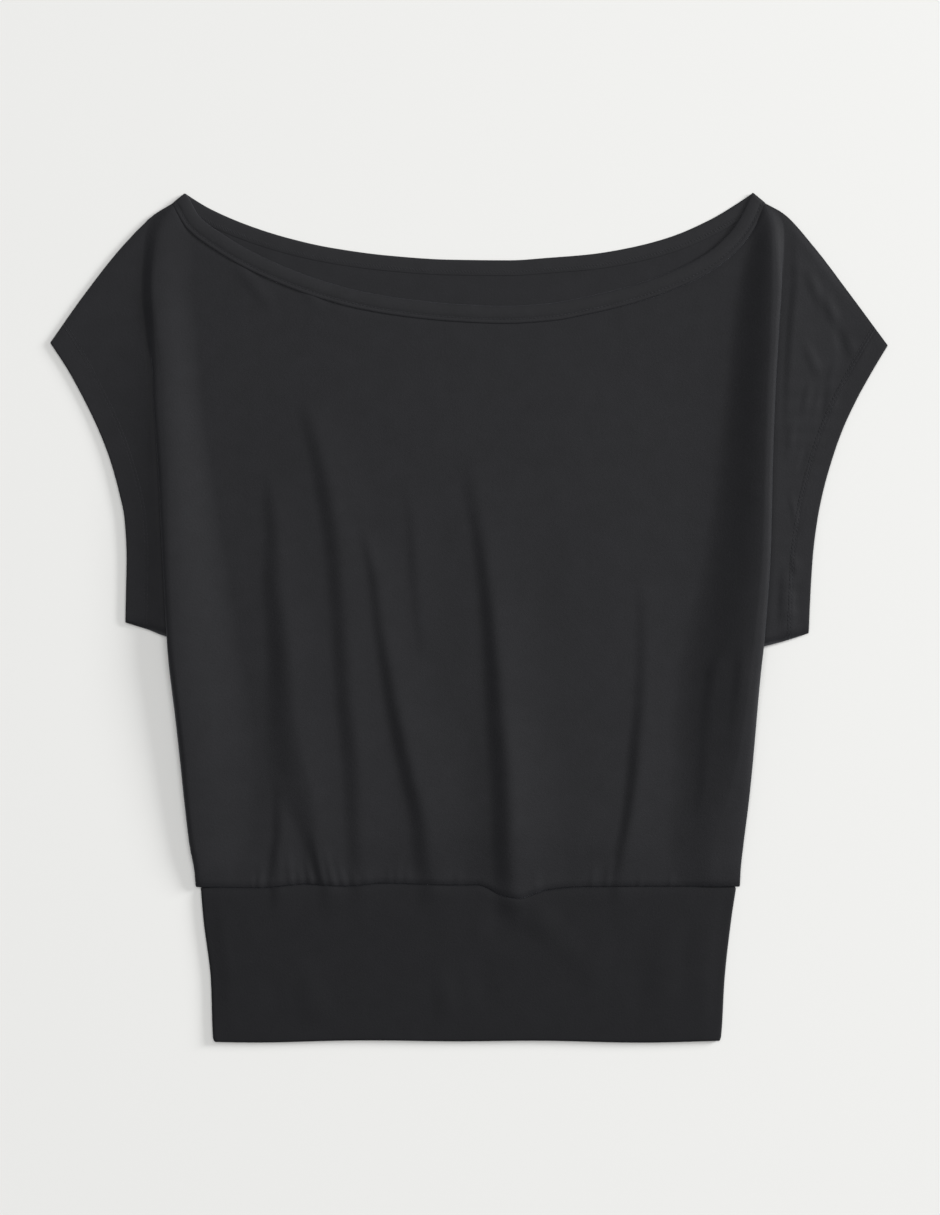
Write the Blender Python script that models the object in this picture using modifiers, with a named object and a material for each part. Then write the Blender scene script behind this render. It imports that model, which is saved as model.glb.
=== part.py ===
"""A t-shirt laid flat: wide neck with a narrow binding, cap sleeves cut in one with the body,
a little fullness gathered into a deep plain waistband.

The back lies on the ground and the front lies on it. At each side the front's body rolls out
over its own sleeve in a soft fold, which turns under below the armpit and ends at the side seam.
Tables and sizes are in millimetres, +Y towards the neck and +Z up, and MM makes them metres.
X is to the right as seen from above, so "left" and "right" are the viewer's.
"""

import bmesh
import bpy
import numpy as np

MM = 0.001

# Driving sizes
PANEL_WALL = 1.2
BAND_WALL = 2.0
BINDING_WALL = 1.8
BINDING_WIDTH = 12.6
BACK_BINDING_WIDTH = 10.8
WAIST_Y = -202.0
HEM_Y = -317.8
WAIST_DIP = 8.5
WAIST_DIP_X = 36.0
WAIST_DIP_WIDTH = 36.0

# Clearances: between layers, at the sewn edges, and at the ends of the front binding
SEAM_GAP = 0.3
EDGE_GAP = 0.4
BINDING_END_GAP = 1.0

# Heights of the middle of each wall above the ground, where it lies flat
BACK_Z = PANEL_WALL / 2
REST_Z = PANEL_WALL + SEAM_GAP + PANEL_WALL / 2
BAND_FRONT_Z = BAND_WALL + SEAM_GAP + BAND_WALL / 2
BINDING_FRONT_Z = PANEL_WALL + SEAM_GAP + BINDING_WALL / 2

# How the cloth lies: the body's loft with the heights and widths over which it comes in, its
# rise to the thicker waistband, the sag of the cross grain, the waistband's loft with its
# hollow under the seam's dip, and the binding's crown
BODY_LOFT = 1.3
LOFT_TOP_Y = 250.0
LOFT_FADE = 120.0
LOFT_HALF_WIDTH = 215.0
LOFT_SIDE_FADE = 40.0
WAIST_RISE = 45.0
BODY_SAG = 22.0
BAND_LOFT = 1.0
BAND_HOLLOW = 0.9
BAND_HOLLOW_HALF_WIDTH = 26.0
BINDING_CROWN = 0.25

# The turn at the inner bend of a side fold, how far below the armpit it closes up, where the
# flat sleeve starts outside the visible edge, and how softly the long folds end
TURN_RADIUS = 1.15
TURN_FADE = 34.0
SLEEVE_START = 8.0
FOLD_FADE = 1.15

# The shoulder seam's heading at the neck, as shares along X and Y
SHOULDER_SLOPE = np.array([0.77, 0.64])

# How finely the cloth is divided, and how much closer the columns are at the neck's ends
BODY_COLUMNS = 66
SLEEVE_COLUMNS = 7
ROWS_ABOVE_ARMPIT = 13
ROWS_BELOW_ARMPIT = 12
BAND_ROWS = 6
END_CROWDING = 0.35

# Cloth colours, linear
JERSEY = (0.026, 0.0265, 0.0295, 1.0)
BAND_JERSEY = (0.021, 0.0215, 0.024, 1.0)
BINDING_JERSEY = (0.028, 0.0285, 0.031, 1.0)

# Stations along a side fold's section: crest, round the visible edge, inner bend, sleeve
FOLD_KNOTS = np.array([0, 0.2, 0.38, 0.52, 0.66, 0.8, 0.92, 1.0, 1.08, 1.2, 1.4])
INNER_BEND = 7

SIDES = ("left", "right")
INWARD = {"left": 1, "right": -1}


def table(names, rows):
    """Named columns from a table's rows."""
    return dict(zip(names.split(), np.array(rows, float).T))


# The front neck edge, where the binding is sewn on, from tip to tip
NECK = table("x y", [
    (-222, 310), (-211, 291.5), (-190, 275.5), (-167, 262), (-142, 250.5), (-115, 240.5),
    (-82, 231.5), (-46, 225.5), (-10, 222), (27, 220.5), (61, 222.5), (91, 228), (122, 235.5),
    (154, 246.5), (182, 260.5), (203, 278), (215, 295), (222, 310)])

# The top edge of the back neck, from tip to tip
BACK_NECK = table("x y", [
    (-213, 317.5), (-194, 306), (-165, 293.5), (-135, 284), (-104, 277), (-60, 271), (-15, 268),
    (30, 267.5), (61, 269.5), (91, 272), (121, 277), (151, 285), (181, 298), (198, 308), (213, 318)])

# The garment's outline on each side: shoulder and sleeve top, sleeve opening, underarm edge
SHOULDER = {
    "left": table("x y", [(-222, 310), (-235, 302), (-259, 278.5), (-288, 242), (-313.8, 205.5)]),
    "right": table("x y", [(222, 310), (236, 302), (257.5, 278.5), (285, 242.5), (313.8, 203.5)]),
}
OPENING = {
    "left": table("x y", [
        (-313.8, 205.5), (-300.5, 185), (-288.5, 163), (-277.5, 140), (-269, 118), (-262.5, 95),
        (-258, 73), (-256.5, 45), (-257, 18), (-257.5, -4)]),
    "right": table("x y", [
        (313.8, 203.5), (303, 185.5), (290.5, 163), (280, 140.5), (272, 118), (265.5, 95),
        (261, 73), (257.5, 45), (255.5, 12), (254.5, -12)]),
}
UNDERARM = {
    "left": table("x y", [(-257.5, -4), (-242, -8.5), (-228, -14), (-212, -18)]),
    "right": table("x y", [(254.5, -12), (248, -14.5), (232, -19), (208, -25)]),
}

# The side folds, from the shoulder down: the visible edge, how far inside it the crest is, the
# crest's height over the cloth at rest, how wide it falls away over the body, how far the cloth
# turns under, and how folded the section is (0 a soft slope, 1 turned right under itself).
SIDE_FOLD = {
    "left": table("y edge crest height fall under folded", [
        (306, -233, 11, 0.6, 14, 0, 0.0), (285, -241, 16, 3.2, 22, 0, 0.0),
        (245, -243, 21, 6.4, 30, 0, 0.0), (215, -241, 21, 8.0, 34, 2, 0.1),
        (185, -238, 18, 9.2, 36, 4, 0.45), (155, -235, 14, 10.2, 36, 7, 0.9),
        (110, -232, 12, 11.0, 36, 10, 1.0), (50, -229.5, 12, 11.4, 36, 12, 1.0),
        (-15, -226, 12, 11.2, 36, 13, 1.0), (-36, -225, 12, 10.6, 36, 12, 1.0),
        (-70, -221.5, 11, 9.2, 34, 10, 1.0), (-103, -218, 10, 8.0, 32, 8, 1.0),
        (-137, -214.5, 9, 6.8, 28, 6, 1.0), (-171, -210.5, 8, 5.6, 24, 5, 1.0),
        (-190, -207, 7, 4.6, 18, 4, 1.0), (-202, -206, 6, 3.2, 12, 4, 1.0)]),
    "right": table("y edge crest height fall under folded", [
        (306, -231, 9, 0.8, 12, 0, 0.0), (290, -238, 8, 4.2, 17, 0, 0.0),
        (255, -240, 9, 8.0, 22, 0, 0.0), (220, -236, 8, 9.2, 24, 2, 0.2),
        (190, -231.5, 6, 9.8, 25, 5, 0.7), (155, -229.5, 6, 10.2, 26, 7, 1.0),
        (110, -229.5, 6, 10.4, 27, 9, 1.0), (50, -227.5, 6, 10.4, 30, 11, 1.0),
        (-22, -221.5, 7, 10.2, 34, 12, 1.0), (-36, -220, 7, 9.8, 34, 11, 1.0),
        (-70, -217, 7, 8.8, 34, 9, 1.0), (-103, -214, 7, 7.6, 32, 8, 1.0),
        (-137, -210.5, 6, 6.4, 28, 6, 1.0), (-171, -206.5, 6, 5.2, 22, 5, 1.0),
        (-190, -204, 6, 4.2, 16, 4, 1.0), (-202, -203.5, 6, 3.2, 12, 4, 1.0)]),
}

# The long soft folds of the body: crest from the top end to the low end, its greatest height,
# and how wide it falls away to the left and to the right
FOLDS = table("x_top y_top x_mid y_mid x_low y_low height left right", [
    (-118, 158, -95, 10, -84, -150, 2.4, 7, 17),
    (-80, 80, -58, -60, -29, -185, 2.5, 7, 16),
    (-150, 90, -134, -40, -128, -165, 2.0, 8, 15),
    (-50, 90, -36, 0, -28, -60, 1.0, 6, 12),
    (8, 80, 26, -90, 32, -196, 3.2, 7, 18),
    (130, 20, 131, -70, 118, -180, 1.8, 7, 14),
    (186, 70, 178, -60, 169, -165, 1.8, 8, 15)])

# Gathers along the waist seam: middle, height over the cloth, half width and how far up they run
GATHERS = table("x height half run", [
    (-160, 1.0, 4.5, 30), (-149, 1.2, 4.5, 44), (-138, 1.3, 4.5, 36), (-127, 1.2, 4.5, 50),
    (-116, 1.3, 4.5, 38), (-105, 1.0, 4.5, 46), (-93, 0.8, 4.5, 28), (-61, 0.8, 5, 34),
    (-48, 0.7, 5, 26), (52, 0.9, 6, 40), (92, 0.8, 5, 30), (106, 0.8, 5, 36), (120, 0.7, 5, 26)])

# The waistband's side edges, from the waist seam to the hem
BAND_SIDE = {
    "left": table("y x", [(-317.8, -191), (-314, -192), (-272, -193.5), (-227, -199), (-204, -201)]),
    "right": table("y x", [(-317.8, 188), (-314, 189), (-272, 191.5), (-227, 196.5), (-204, 200)]),
}


def through(x, xs, ys):
    """A smooth line through a table's points, xs rising, that never swings past them."""
    x = np.asarray(x, float)
    step = np.diff(xs)
    slope = np.diff(ys, axis=0) / step.reshape(-1, *[1] * (ys.ndim - 1))
    product = slope[:-1] * slope[1:]
    total = slope[:-1] + slope[1:]
    middle = np.where(product > 0, 2 * product / np.where(total == 0, 1, total), 0)
    tangent = np.concatenate([slope[:1], middle, slope[-1:]])
    k = np.clip(np.searchsorted(xs, x, side="right") - 1, 0, len(step) - 1)
    t = np.clip((x - xs[k]) / step[k], 0, 1)
    bend = step[k] * t * (1 - t)
    return (ys[k] + (ys[k + 1] - ys[k]) * ease(t)
            + bend * ((1 - t) * tangent[k] - t * tangent[k + 1]))


def along(line, count):
    """Evenly spaced points on a smooth line through a table's x and y, both ends included."""
    reach = np.concatenate([[0], np.cumsum(np.hypot(np.diff(line["x"]), np.diff(line["y"])))])
    s = np.linspace(0, reach[-1], count)
    return np.stack([through(s, reach, line["x"]), through(s, reach, line["y"])], axis=1)


def ease(t):
    """A soft step from 0 to 1."""
    t = np.clip(t, 0, 1)
    return t * t * (3 - 2 * t)


def bell(d, half):
    """1 in the middle, falling softly to 0 at a distance of half on either side."""
    return 0.5 + 0.5 * np.cos(np.pi * np.clip(np.abs(d) / half, 0, 1))


def rows_of(columns):
    """A table's rows, each as a dictionary."""
    return [dict(zip(columns, row)) for row in zip(*columns.values())]


def fold_value(side, name, y):
    """A side fold's named size at a height y."""
    rows = SIDE_FOLD[side]
    return through(y, rows["y"][::-1], rows[name][::-1])


def side_edge(side, y):
    """The visible edge of the body's side fold, as an x."""
    return INWARD[side] * fold_value(side, "edge", y)


def waist_line(x):
    """The waist seam, a level line with one dip under the deepest fold."""
    return WAIST_Y - WAIST_DIP * bell(x - WAIST_DIP_X, WAIST_DIP_WIDTH)


def armpit_line(x):
    """The underarm edges, and the line between them that sags across the body."""
    left, right = UNDERARM["left"], UNDERARM["right"]
    t = np.clip((x - left["x"][-1]) / (right["x"][-1] - left["x"][-1]), 0, 1)
    middle = left["y"][-1] + (right["y"][-1] - left["y"][-1]) * t - BODY_SAG * np.sin(np.pi * t)
    outer = np.where(x < 0, through(x, left["x"], left["y"]),
                     through(x, right["x"][::-1], right["y"][::-1]))
    return np.where((t > 0) & (t < 1), middle, outer)


def top_line(x):
    """The top edge of the front: the neck seam, then the shoulder seam on each side."""
    left, right = SHOULDER["left"], SHOULDER["right"]
    shoulder = np.where(x < 0, through(x, left["x"][::-1], left["y"][::-1]),
                        through(x, right["x"], right["y"]))
    return np.where(np.abs(x) < NECK["x"][-1], through(x, NECK["x"], NECK["y"]), shoulder)


def base_height(x, y):
    """The middle of the front's wall over the ground, without its folds."""
    down = ease((LOFT_TOP_Y - y) / LOFT_FADE)
    loft = BODY_LOFT * down * ease((LOFT_HALF_WIDTH - np.abs(x)) / LOFT_SIDE_FADE)
    return REST_Z + loft + (BAND_FRONT_Z - REST_Z - loft) * ease(1 - (y - WAIST_Y) / WAIST_RISE)


def body_height(x, y):
    """The middle of the front's wall over the ground, on the body between the two crests."""
    z = base_height(x, y)
    for side in SIDES:
        inward = INWARD[side] * (x - side_edge(side, y)) - fold_value(side, "crest", y)
        fall = fold_value(side, "fall", y)
        z = z + fold_value(side, "height", y) * bell(np.maximum(inward, 0), fall)
    for fold in rows_of(FOLDS):
        ys = np.array([fold["y_low"], fold["y_mid"], fold["y_top"]])
        xs = np.array([fold["x_low"], fold["x_mid"], fold["x_top"]])
        d = x - through(y, ys, xs)
        reach = FOLD_FADE * (fold["y_top"] - fold["y_low"]) / 2
        run = bell(y - (fold["y_top"] + fold["y_low"]) / 2, reach)
        z = z + fold["height"] * run * np.where(d < 0, bell(d, fold["left"]), bell(d, fold["right"]))
    for gather in rows_of(GATHERS):
        up = ease(1 - (y - WAIST_Y) / gather["run"])
        z = z + gather["height"] * up * bell(x - gather["x"], gather["half"])
    return z


def roll_section(side, y, t):
    """A side fold's section, for t from 0 at the crest to 1 at the inner bend and 1.4 out on the
    sleeve: how far in from the visible edge, and the wall's height, at each height y."""
    crest, height = fold_value(side, "crest", y), fold_value(side, "height", y)
    under, folded = fold_value(side, "under", y), fold_value(side, "folded", y)
    base = base_height(side_edge(side, y) + INWARD[side] * crest, y)
    top = base + height
    over_sleeve = ease((y - UNDERARM[side]["y"][-1] + TURN_FADE) / TURN_FADE)
    low = np.minimum(REST_Z + 2 * TURN_RADIUS * over_sleeve, base + 0.5 * height)
    turned_in = np.stack([
        crest, 0.42 * crest, 0.08 * crest, 0 * crest, 0.14 * under, 0.6 * under, 0.96 * under,
        under + TURN_RADIUS * folded, 0.96 * under, 0.4 * under, 0 * crest - SLEEVE_START])
    turned_up = np.stack([
        top, top - 0.1 * (top - low), top - 0.32 * (top - low), 0.5 * (top + low),
        low + 0.2 * (top - low), low + 0.04 * (top - low), low, 0.5 * (REST_Z + low),
        0 * low + REST_Z, 0 * low + REST_Z, 0 * low + REST_Z])
    step = (FOLD_KNOTS / FOLD_KNOTS[-1])[:, None]
    slope_in = crest - (SLEEVE_START + crest) * step
    slope_up = REST_Z + (top - REST_Z) * (1 - ease(1.12 * step))
    inward = slope_in + (turned_in - slope_in) * folded
    upward = slope_up + (turned_up - slope_up) * folded
    return through(t, FOLD_KNOTS, inward), through(t, FOLD_KNOTS, upward)


def body_rows():
    """Rows of the front: 0 the top line, 1 the armpit line, 2 the waist seam."""
    above = np.linspace(0, 1, ROWS_ABOVE_ARMPIT + 1)
    below = 2 - (1 - np.linspace(0, 1, ROWS_BELOW_ARMPIT + 1)) ** 1.35
    return np.concatenate([above, below[1:]])


def row_height(x, row):
    """The y of a row at x."""
    top, middle, low = top_line(x), armpit_line(x), waist_line(x)
    return np.where(row < 1, top + (middle - top) * row, middle + (low - middle) * (row - 1))


def roll_points(side, rows, ts):
    """Points of a side fold for each row, from the crest at t = 0 outward and under."""
    columns = []
    for t in ts:
        x = np.full(len(rows), INWARD[side] * NECK["x"][0])
        for _ in range(4):
            y = row_height(x, rows)
            d, z = roll_section(side, y, t)
            x = side_edge(side, y) + INWARD[side] * d
        columns.append(np.stack([x, y, z], axis=1))
    return np.stack(columns, axis=1)


def body_grid():
    """The front's body: rows of points from the left inner bend, over the body, to the right."""
    rows = body_rows()
    ts = FOLD_KNOTS[:INNER_BEND + 1]
    left, right = roll_points("left", rows, ts), roll_points("right", rows, ts)
    even = np.linspace(0, 1, BODY_COLUMNS + 1)[1:-1]
    across = even + END_CROWDING * (0.5 - 0.5 * np.cos(np.pi * even) - even)
    x = left[:, :1, 0] + (right[:, :1, 0] - left[:, :1, 0]) * across
    y = row_height(x, rows[:, None])
    middle = np.stack([x, y, body_height(x, y)], axis=2)
    return np.concatenate([left[:, ::-1], middle, right], axis=1)


def sleeve_grid(side):
    """A front sleeve: from the inner bend under the side fold, out to the sleeve opening."""
    rows = body_rows()[:ROWS_ABOVE_ARMPIT + 1]
    start = roll_points(side, rows, FOLD_KNOTS[INNER_BEND:])
    inner = start[:, -1, :2]
    opening = along(OPENING[side], len(rows))
    s = np.linspace(0, 1, SLEEVE_COLUMNS + 1)[1:, None]
    top_x = inner[0, 0] + (opening[0, 0] - inner[0, 0]) * s[:, 0]
    low_x = inner[-1, 0] + (opening[-1, 0] - inner[-1, 0]) * s[:, 0]
    top = np.stack([top_x, top_line(top_x)], axis=1)
    low = np.stack([low_x, armpit_line(low_x)], axis=1)
    grid = []
    # Each row lies between its two ends, bent to follow the shoulder seam and the underarm edge
    for k, t in enumerate(np.linspace(0, 1, len(rows))):
        flat = ((1 - s) * inner[k] + s * opening[k] + (1 - t) * top + t * low
                - (1 - s) * ((1 - t) * inner[0] + t * inner[-1])
                - s * ((1 - t) * opening[0] + t * opening[-1]))
        outer = np.column_stack([flat, np.full(len(flat), REST_Z)])
        grid.append(np.concatenate([start[k], outer]))
    return np.array(grid)


def side_seam(side, count):
    """Where the back ends at the side, from the underarm to the waist, under the side fold."""
    y = np.linspace(UNDERARM[side]["y"][-1], WAIST_Y, count)
    return np.stack([side_edge(side, y) + INWARD[side] * (fold_value(side, "under", y) - 1), y], axis=1)


def offset_line(points, distance):
    """A neck line moved sideways by a distance, to the left as seen along it. Its ends move
    along the shoulder seams."""
    heading = np.gradient(points, axis=0)
    across = np.stack([-heading[:, 1], heading[:, 0]], axis=1)
    across /= np.linalg.norm(across, axis=1)[:, None]
    for end, inner in ((0, 1), (-1, -2)):
        seam = SHOULDER_SLOPE * [-np.sign(points[end, 0]), 1]
        across[end] = seam * np.sign(seam @ across[end])
        across[inner] = (across[inner] + across[end]) / np.linalg.norm(across[inner] + across[end])
    return points + distance * across


def held_back(points, gap):
    """A line with both ends drawn in by a gap."""
    points = points.copy()
    for end, inner in ((0, 1), (-1, -2)):
        run = points[inner] - points[end]
        points[end] += run * gap / np.linalg.norm(run)
    return points


def back_outline():
    """The back's outline: inside the neck binding, then down each side to the waist."""
    neck = offset_line(along(BACK_NECK, 60), -BACK_BINDING_WIDTH - EDGE_GAP)
    ends = [side_seam(side, 2)[-1, 0] for side in SIDES]
    waist = np.array([[x, WAIST_Y] for x in np.linspace(*ends, 30)])
    left = np.concatenate([along(SHOULDER["left"], 14), along(OPENING["left"], 20)[1:],
                           along(UNDERARM["left"], 8)[1:], side_seam("left", 16)[1:-1]])
    right = np.concatenate([along(SHOULDER["right"], 14), along(OPENING["right"], 20)[1:],
                            along(UNDERARM["right"], 8)[1:], side_seam("right", 16)[1:-1]])
    return np.concatenate([neck[::-1], left, waist, right[::-1]])


def band_side(side, y):
    return through(y, BAND_SIDE[side]["y"], BAND_SIDE[side]["x"])


def band_outline():
    """The waistband's outline, for the back half that lies on the ground."""
    top = WAIST_Y - EDGE_GAP
    ys = np.linspace(HEM_Y, top, 14)
    left = np.stack([band_side("left", ys), ys], axis=1)
    right = np.stack([band_side("right", ys), ys], axis=1)
    return np.concatenate([left, right[::-1]])


def band_grid():
    """The front waistband: rows from just under the waist seam to the hem, in line with the
    body's columns."""
    top = WAIST_Y - EDGE_GAP
    seam_x = body_grid()[-1, INNER_BEND + 1:-INNER_BEND - 1, 0]
    start, end = band_side("left", top), band_side("right", top)
    across = np.concatenate([[0], (seam_x - start) / (end - start), [1]])
    grid = []
    for down in np.linspace(0, 1, BAND_ROWS + 1):
        y = top + (HEM_Y - top) * down
        x = band_side("left", y) + (band_side("right", y) - band_side("left", y)) * across
        dip = (waist_line(x) - WAIST_Y) * (1 - down)
        hollow = BAND_HOLLOW * bell(x - WAIST_DIP_X, BAND_HOLLOW_HALF_WIDTH) * bell(down - 0.12, 0.3)
        z = BAND_FRONT_Z + BAND_LOFT * np.sin(np.pi * down) ** 0.6 * (1 - hollow)
        grid.append(np.stack([x, y + dip, z], axis=1))
    return np.array(grid)


def binding_grid(edge, width, z, crown):
    """A binding: a strip to the left of its sewn edge, a little crowned across."""
    across = np.linspace(0, 1, 5)
    lines = [offset_line(edge, EDGE_GAP + (width - EDGE_GAP) * s) for s in across]
    return np.array([np.column_stack([line, np.full(len(line), z + crown * np.sin(np.pi * s))])
                     for line, s in zip(lines, across)])


def new_material(name, colour, roughness):
    material = bpy.data.materials.new(name)
    material.use_nodes = True
    shader = material.node_tree.nodes["Principled BSDF"]
    shader.inputs["Base Color"].default_value = colour
    shader.inputs["Roughness"].default_value = roughness
    shader.inputs["Metallic"].default_value = 0.0
    return material


def sheet(name, grids, wall, material, collection):
    """A cloth wall of even thickness on open grids of points, joined where their edges meet."""
    mesh = bpy.data.meshes.new(name)
    shape = bmesh.new()
    for grid, flip in grids:
        verts = [[shape.verts.new(point * MM) for point in row] for row in grid]
        for upper, lower in zip(verts, verts[1:]):
            for i in range(len(upper) - 1):
                face = (upper[i], lower[i], lower[i + 1], upper[i + 1])
                shape.faces.new(face[::-1] if flip else face)
    bmesh.ops.remove_doubles(shape, verts=shape.verts, dist=0.00001)
    shape.to_mesh(mesh)
    shape.free()
    mesh.shade_smooth()
    piece = bpy.data.objects.new(name, mesh)
    piece.data.materials.append(material)
    collection.objects.link(piece)
    solid = piece.modifiers.new("Wall", "SOLIDIFY")
    solid.thickness = wall * MM
    solid.offset = 0.0
    solid.use_even_offset = False
    return piece


def flat_piece(name, outline, wall, material, collection):
    """A flat cut piece lying on the ground, from its outline."""
    curve = bpy.data.curves.new(name, "CURVE")
    curve.dimensions = "2D"
    curve.fill_mode = "BOTH"
    curve.extrude = wall * MM / 2
    spline = curve.splines.new("POLY")
    spline.points.add(len(outline) - 1)
    for point, (x, y) in zip(spline.points, outline):
        point.co = (x * MM, y * MM, 0.0, 1.0)
    spline.use_cyclic_u = True
    piece = bpy.data.objects.new(name, curve)
    piece.location.z = wall * MM / 2
    piece.data.materials.append(material)
    collection.objects.link(piece)
    return piece


def front_panel(material, collection):
    grids = [(body_grid(), False), (sleeve_grid("left"), True), (sleeve_grid("right"), False)]
    return sheet("front_panel", grids, PANEL_WALL, material, collection)


def back_panel(material, collection):
    return flat_piece("back_panel", back_outline(), PANEL_WALL, material, collection)


def waistbands(material, collection):
    sheet("waistband_front", [(band_grid(), False)], BAND_WALL, material, collection)
    flat_piece("waistband_back", band_outline(), BAND_WALL, material, collection)


def neck_bindings(material, collection):
    neck_row = body_grid()[0, INNER_BEND:-INNER_BEND, :2]
    edge = held_back(neck_row, BINDING_END_GAP)
    front = binding_grid(edge, BINDING_WIDTH, BINDING_FRONT_Z, BINDING_CROWN)
    sheet("neck_binding_front", [(front, True)], BINDING_WALL, material, collection)
    back = binding_grid(along(BACK_NECK, 56)[::-1], BACK_BINDING_WIDTH, BACK_Z, 0.0)
    sheet("neck_binding_back", [(back, True)], PANEL_WALL, material, collection)


def main():
    for thing in list(bpy.data.objects):
        bpy.data.objects.remove(thing)
    collection = bpy.data.collections.new("t_shirt")
    bpy.context.scene.collection.children.link(collection)
    jersey = new_material("jersey", JERSEY, 0.85)
    front_panel(jersey, collection)
    back_panel(jersey, collection)
    waistbands(new_material("band jersey", BAND_JERSEY, 0.85), collection)
    neck_bindings(new_material("binding jersey", BINDING_JERSEY, 0.82), collection)


main()
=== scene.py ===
"""The looks of a black jersey t-shirt laid flat: wide bound neck, cap sleeves cut in one with
the body, soft folds gathered into a deep plain waistband.

Tables and sizes are in millimetres, +Y towards the neck and +Z up, and MM makes them metres.
The cloth lies as the part's does, on the same outline, more finely divided. Its folds are set
closer to the photograph's, and it has the small creases, turned hems and stitches too.
"""

import math

import bpy
import numpy as np
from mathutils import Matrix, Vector


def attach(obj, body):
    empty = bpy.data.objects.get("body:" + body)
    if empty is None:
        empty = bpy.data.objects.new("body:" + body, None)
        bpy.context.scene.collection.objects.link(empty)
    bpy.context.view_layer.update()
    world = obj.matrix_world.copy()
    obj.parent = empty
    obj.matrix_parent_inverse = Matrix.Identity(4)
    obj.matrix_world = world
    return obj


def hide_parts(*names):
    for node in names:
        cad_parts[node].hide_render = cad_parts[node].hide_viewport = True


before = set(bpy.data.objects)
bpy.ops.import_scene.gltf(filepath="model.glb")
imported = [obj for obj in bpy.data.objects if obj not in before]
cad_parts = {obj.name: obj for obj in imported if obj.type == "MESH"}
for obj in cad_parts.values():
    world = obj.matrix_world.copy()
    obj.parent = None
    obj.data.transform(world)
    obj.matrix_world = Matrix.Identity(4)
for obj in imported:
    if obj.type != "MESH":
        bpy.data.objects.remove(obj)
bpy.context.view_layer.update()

MM = 0.001

# The photograph's frame: its size, the millimetres that a pixel covers, and where the garment's
# middle is in it
FRAME_WIDTH, FRAME_HEIGHT = 940, 1215
PIXEL = 0.75
MIDDLE_PIXEL = (469, 617)
CAMERA_HEIGHT = 2600.0
SENSOR = 36.0

# Sizes of the garment, as in the part
BACK_BINDING_WIDTH = 10.8
WAIST_Y = -202.0
HEM_Y = -317.8

# The turned hem at a sleeve's opening: its width, how far in its cloth is made as strips, there
# and at the shoulder, the share of its length that is drawn to the seams at its ends, how much it
# stands over the single cloth, how soon it does so, its two sewn lines, how wide and deep they
# are pressed in, the least that the wall gains there, how far in it is rounded off, and how proud
# of the cloth the stitches stand (below 0 they are sunk into it)
HEM_WIDTH = 17.2
HEM_REACH = 18.5
HEM_TOP_REACH = 11.6
HEM_END_BLEND = 0.22
HEM_RISE = {"left": 0.06, "right": 0.13}
HEM_STEP_WIDTH = 1.2
HEM_STITCHES = (14.1, 16.3)
HEM_STITCH_HALF = 1.0
HEM_STITCH_SINK = 1.2
HEM_THINNEST = -0.05
HEM_EDGE_ROUND = 1.0
STITCH_PROUD = {"left": -0.05, "right": 0.04}
BACK_STITCH_PROUD = 0.04
HEM_STEPS = np.array([18.5, 17.7, 17.1, 16.7, 16.3, 15.9, 15.5, 15.1, 14.6, 14.1, 13.7, 13.2, 12.4,
                      11, 8, 5, 2.5, 1.1, 0.4, 0.0])

# Heights of the middle of each wall above the ground, where it lies flat
BACK_Z = 0.55
REST_Z = 2.1
BAND_BACK_Z = 0.95
BAND_FRONT_Z = 3.0
SEAM_Z = 1.45

# Half of each wall, how far from its edge it is rounded off, and the least that is left there, as
# the square of a share
JERSEY_HALF = 0.45
BAND_HALF = 0.8
EDGE_ROUND = 1.0
BAND_EDGE_ROUND = 1.6
EDGE_LEAST = 0.12

# How the cloth goes down into its seams, how wide the ditch is there, and the share of its own
# height that it keeps in the shoulder and underarm seams
SEAM_DITCH = 4.5
SEAM_KEEP = 0.15
NECK_SINK = 0.4
NECK_DITCH = 5.0
WAIST_SINK = 0.9
BAND_SINK = 0.7
BAND_DITCH = 5.0

# How far the sleeve's small folds keep from the body, how far out the side fold lifts the sleeve,
# and the small waves along its hem: their height, pitch and reach, how far and how slowly they
# drift, and how much and how slowly they swell
SLEEVE_CLEAR = 8.0
SLEEVE_LIFT_REACH = {"left": 46.0, "right": 70.0}
PUCKER = {"left": 0.03, "right": 0.22}
PUCKER_PITCH = 13.0
PUCKER_REACH = 11.0
PUCKER_DRIFT, PUCKER_DRIFT_RUN = 1.5, 19.0
PUCKER_SWELL, PUCKER_SWELL_RUN = 0.4, 23.0

# How softly the back's side goes over from the sleeve to the side seam
BACK_SIDE_BLEND = 60.0

# The waistband: its gap to the waist seam, how far down it rises with the body's folds and dips
# with the seam, how full its loft is, how far in its side folds start and how far out they
# bulge, the fade of the loft beside them and of the creases at its edges, and its rows beside
# both edges. Its hem waves a little, and less so underneath.
BAND_EDGE_GAP = 0.12
BAND_RISE_REACH = 36.0
BAND_DIP_FADE = 1.5
BAND_FULLNESS = 0.6
BAND_TURN = 1.9
BAND_TURN_OUT = 1.1
BAND_TURN_STEPS = 9
BAND_SIDE_FADE = 14.0
BAND_CREASE_FADE = 0.06
BAND_EDGE_STEPS = np.array([0, 0.35, 1.0, 2.0])
BAND_ROW_ENDS = (0.03, 0.97)
HEM_WAVE = 1.0
HEM_WAVE_RUNS = (31.0, 83.0)
HEM_WAVE_START = 0.6
HEM_WAVE_SHARE = 0.2
HEM_WAVE_UNDER = 0.4

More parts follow.
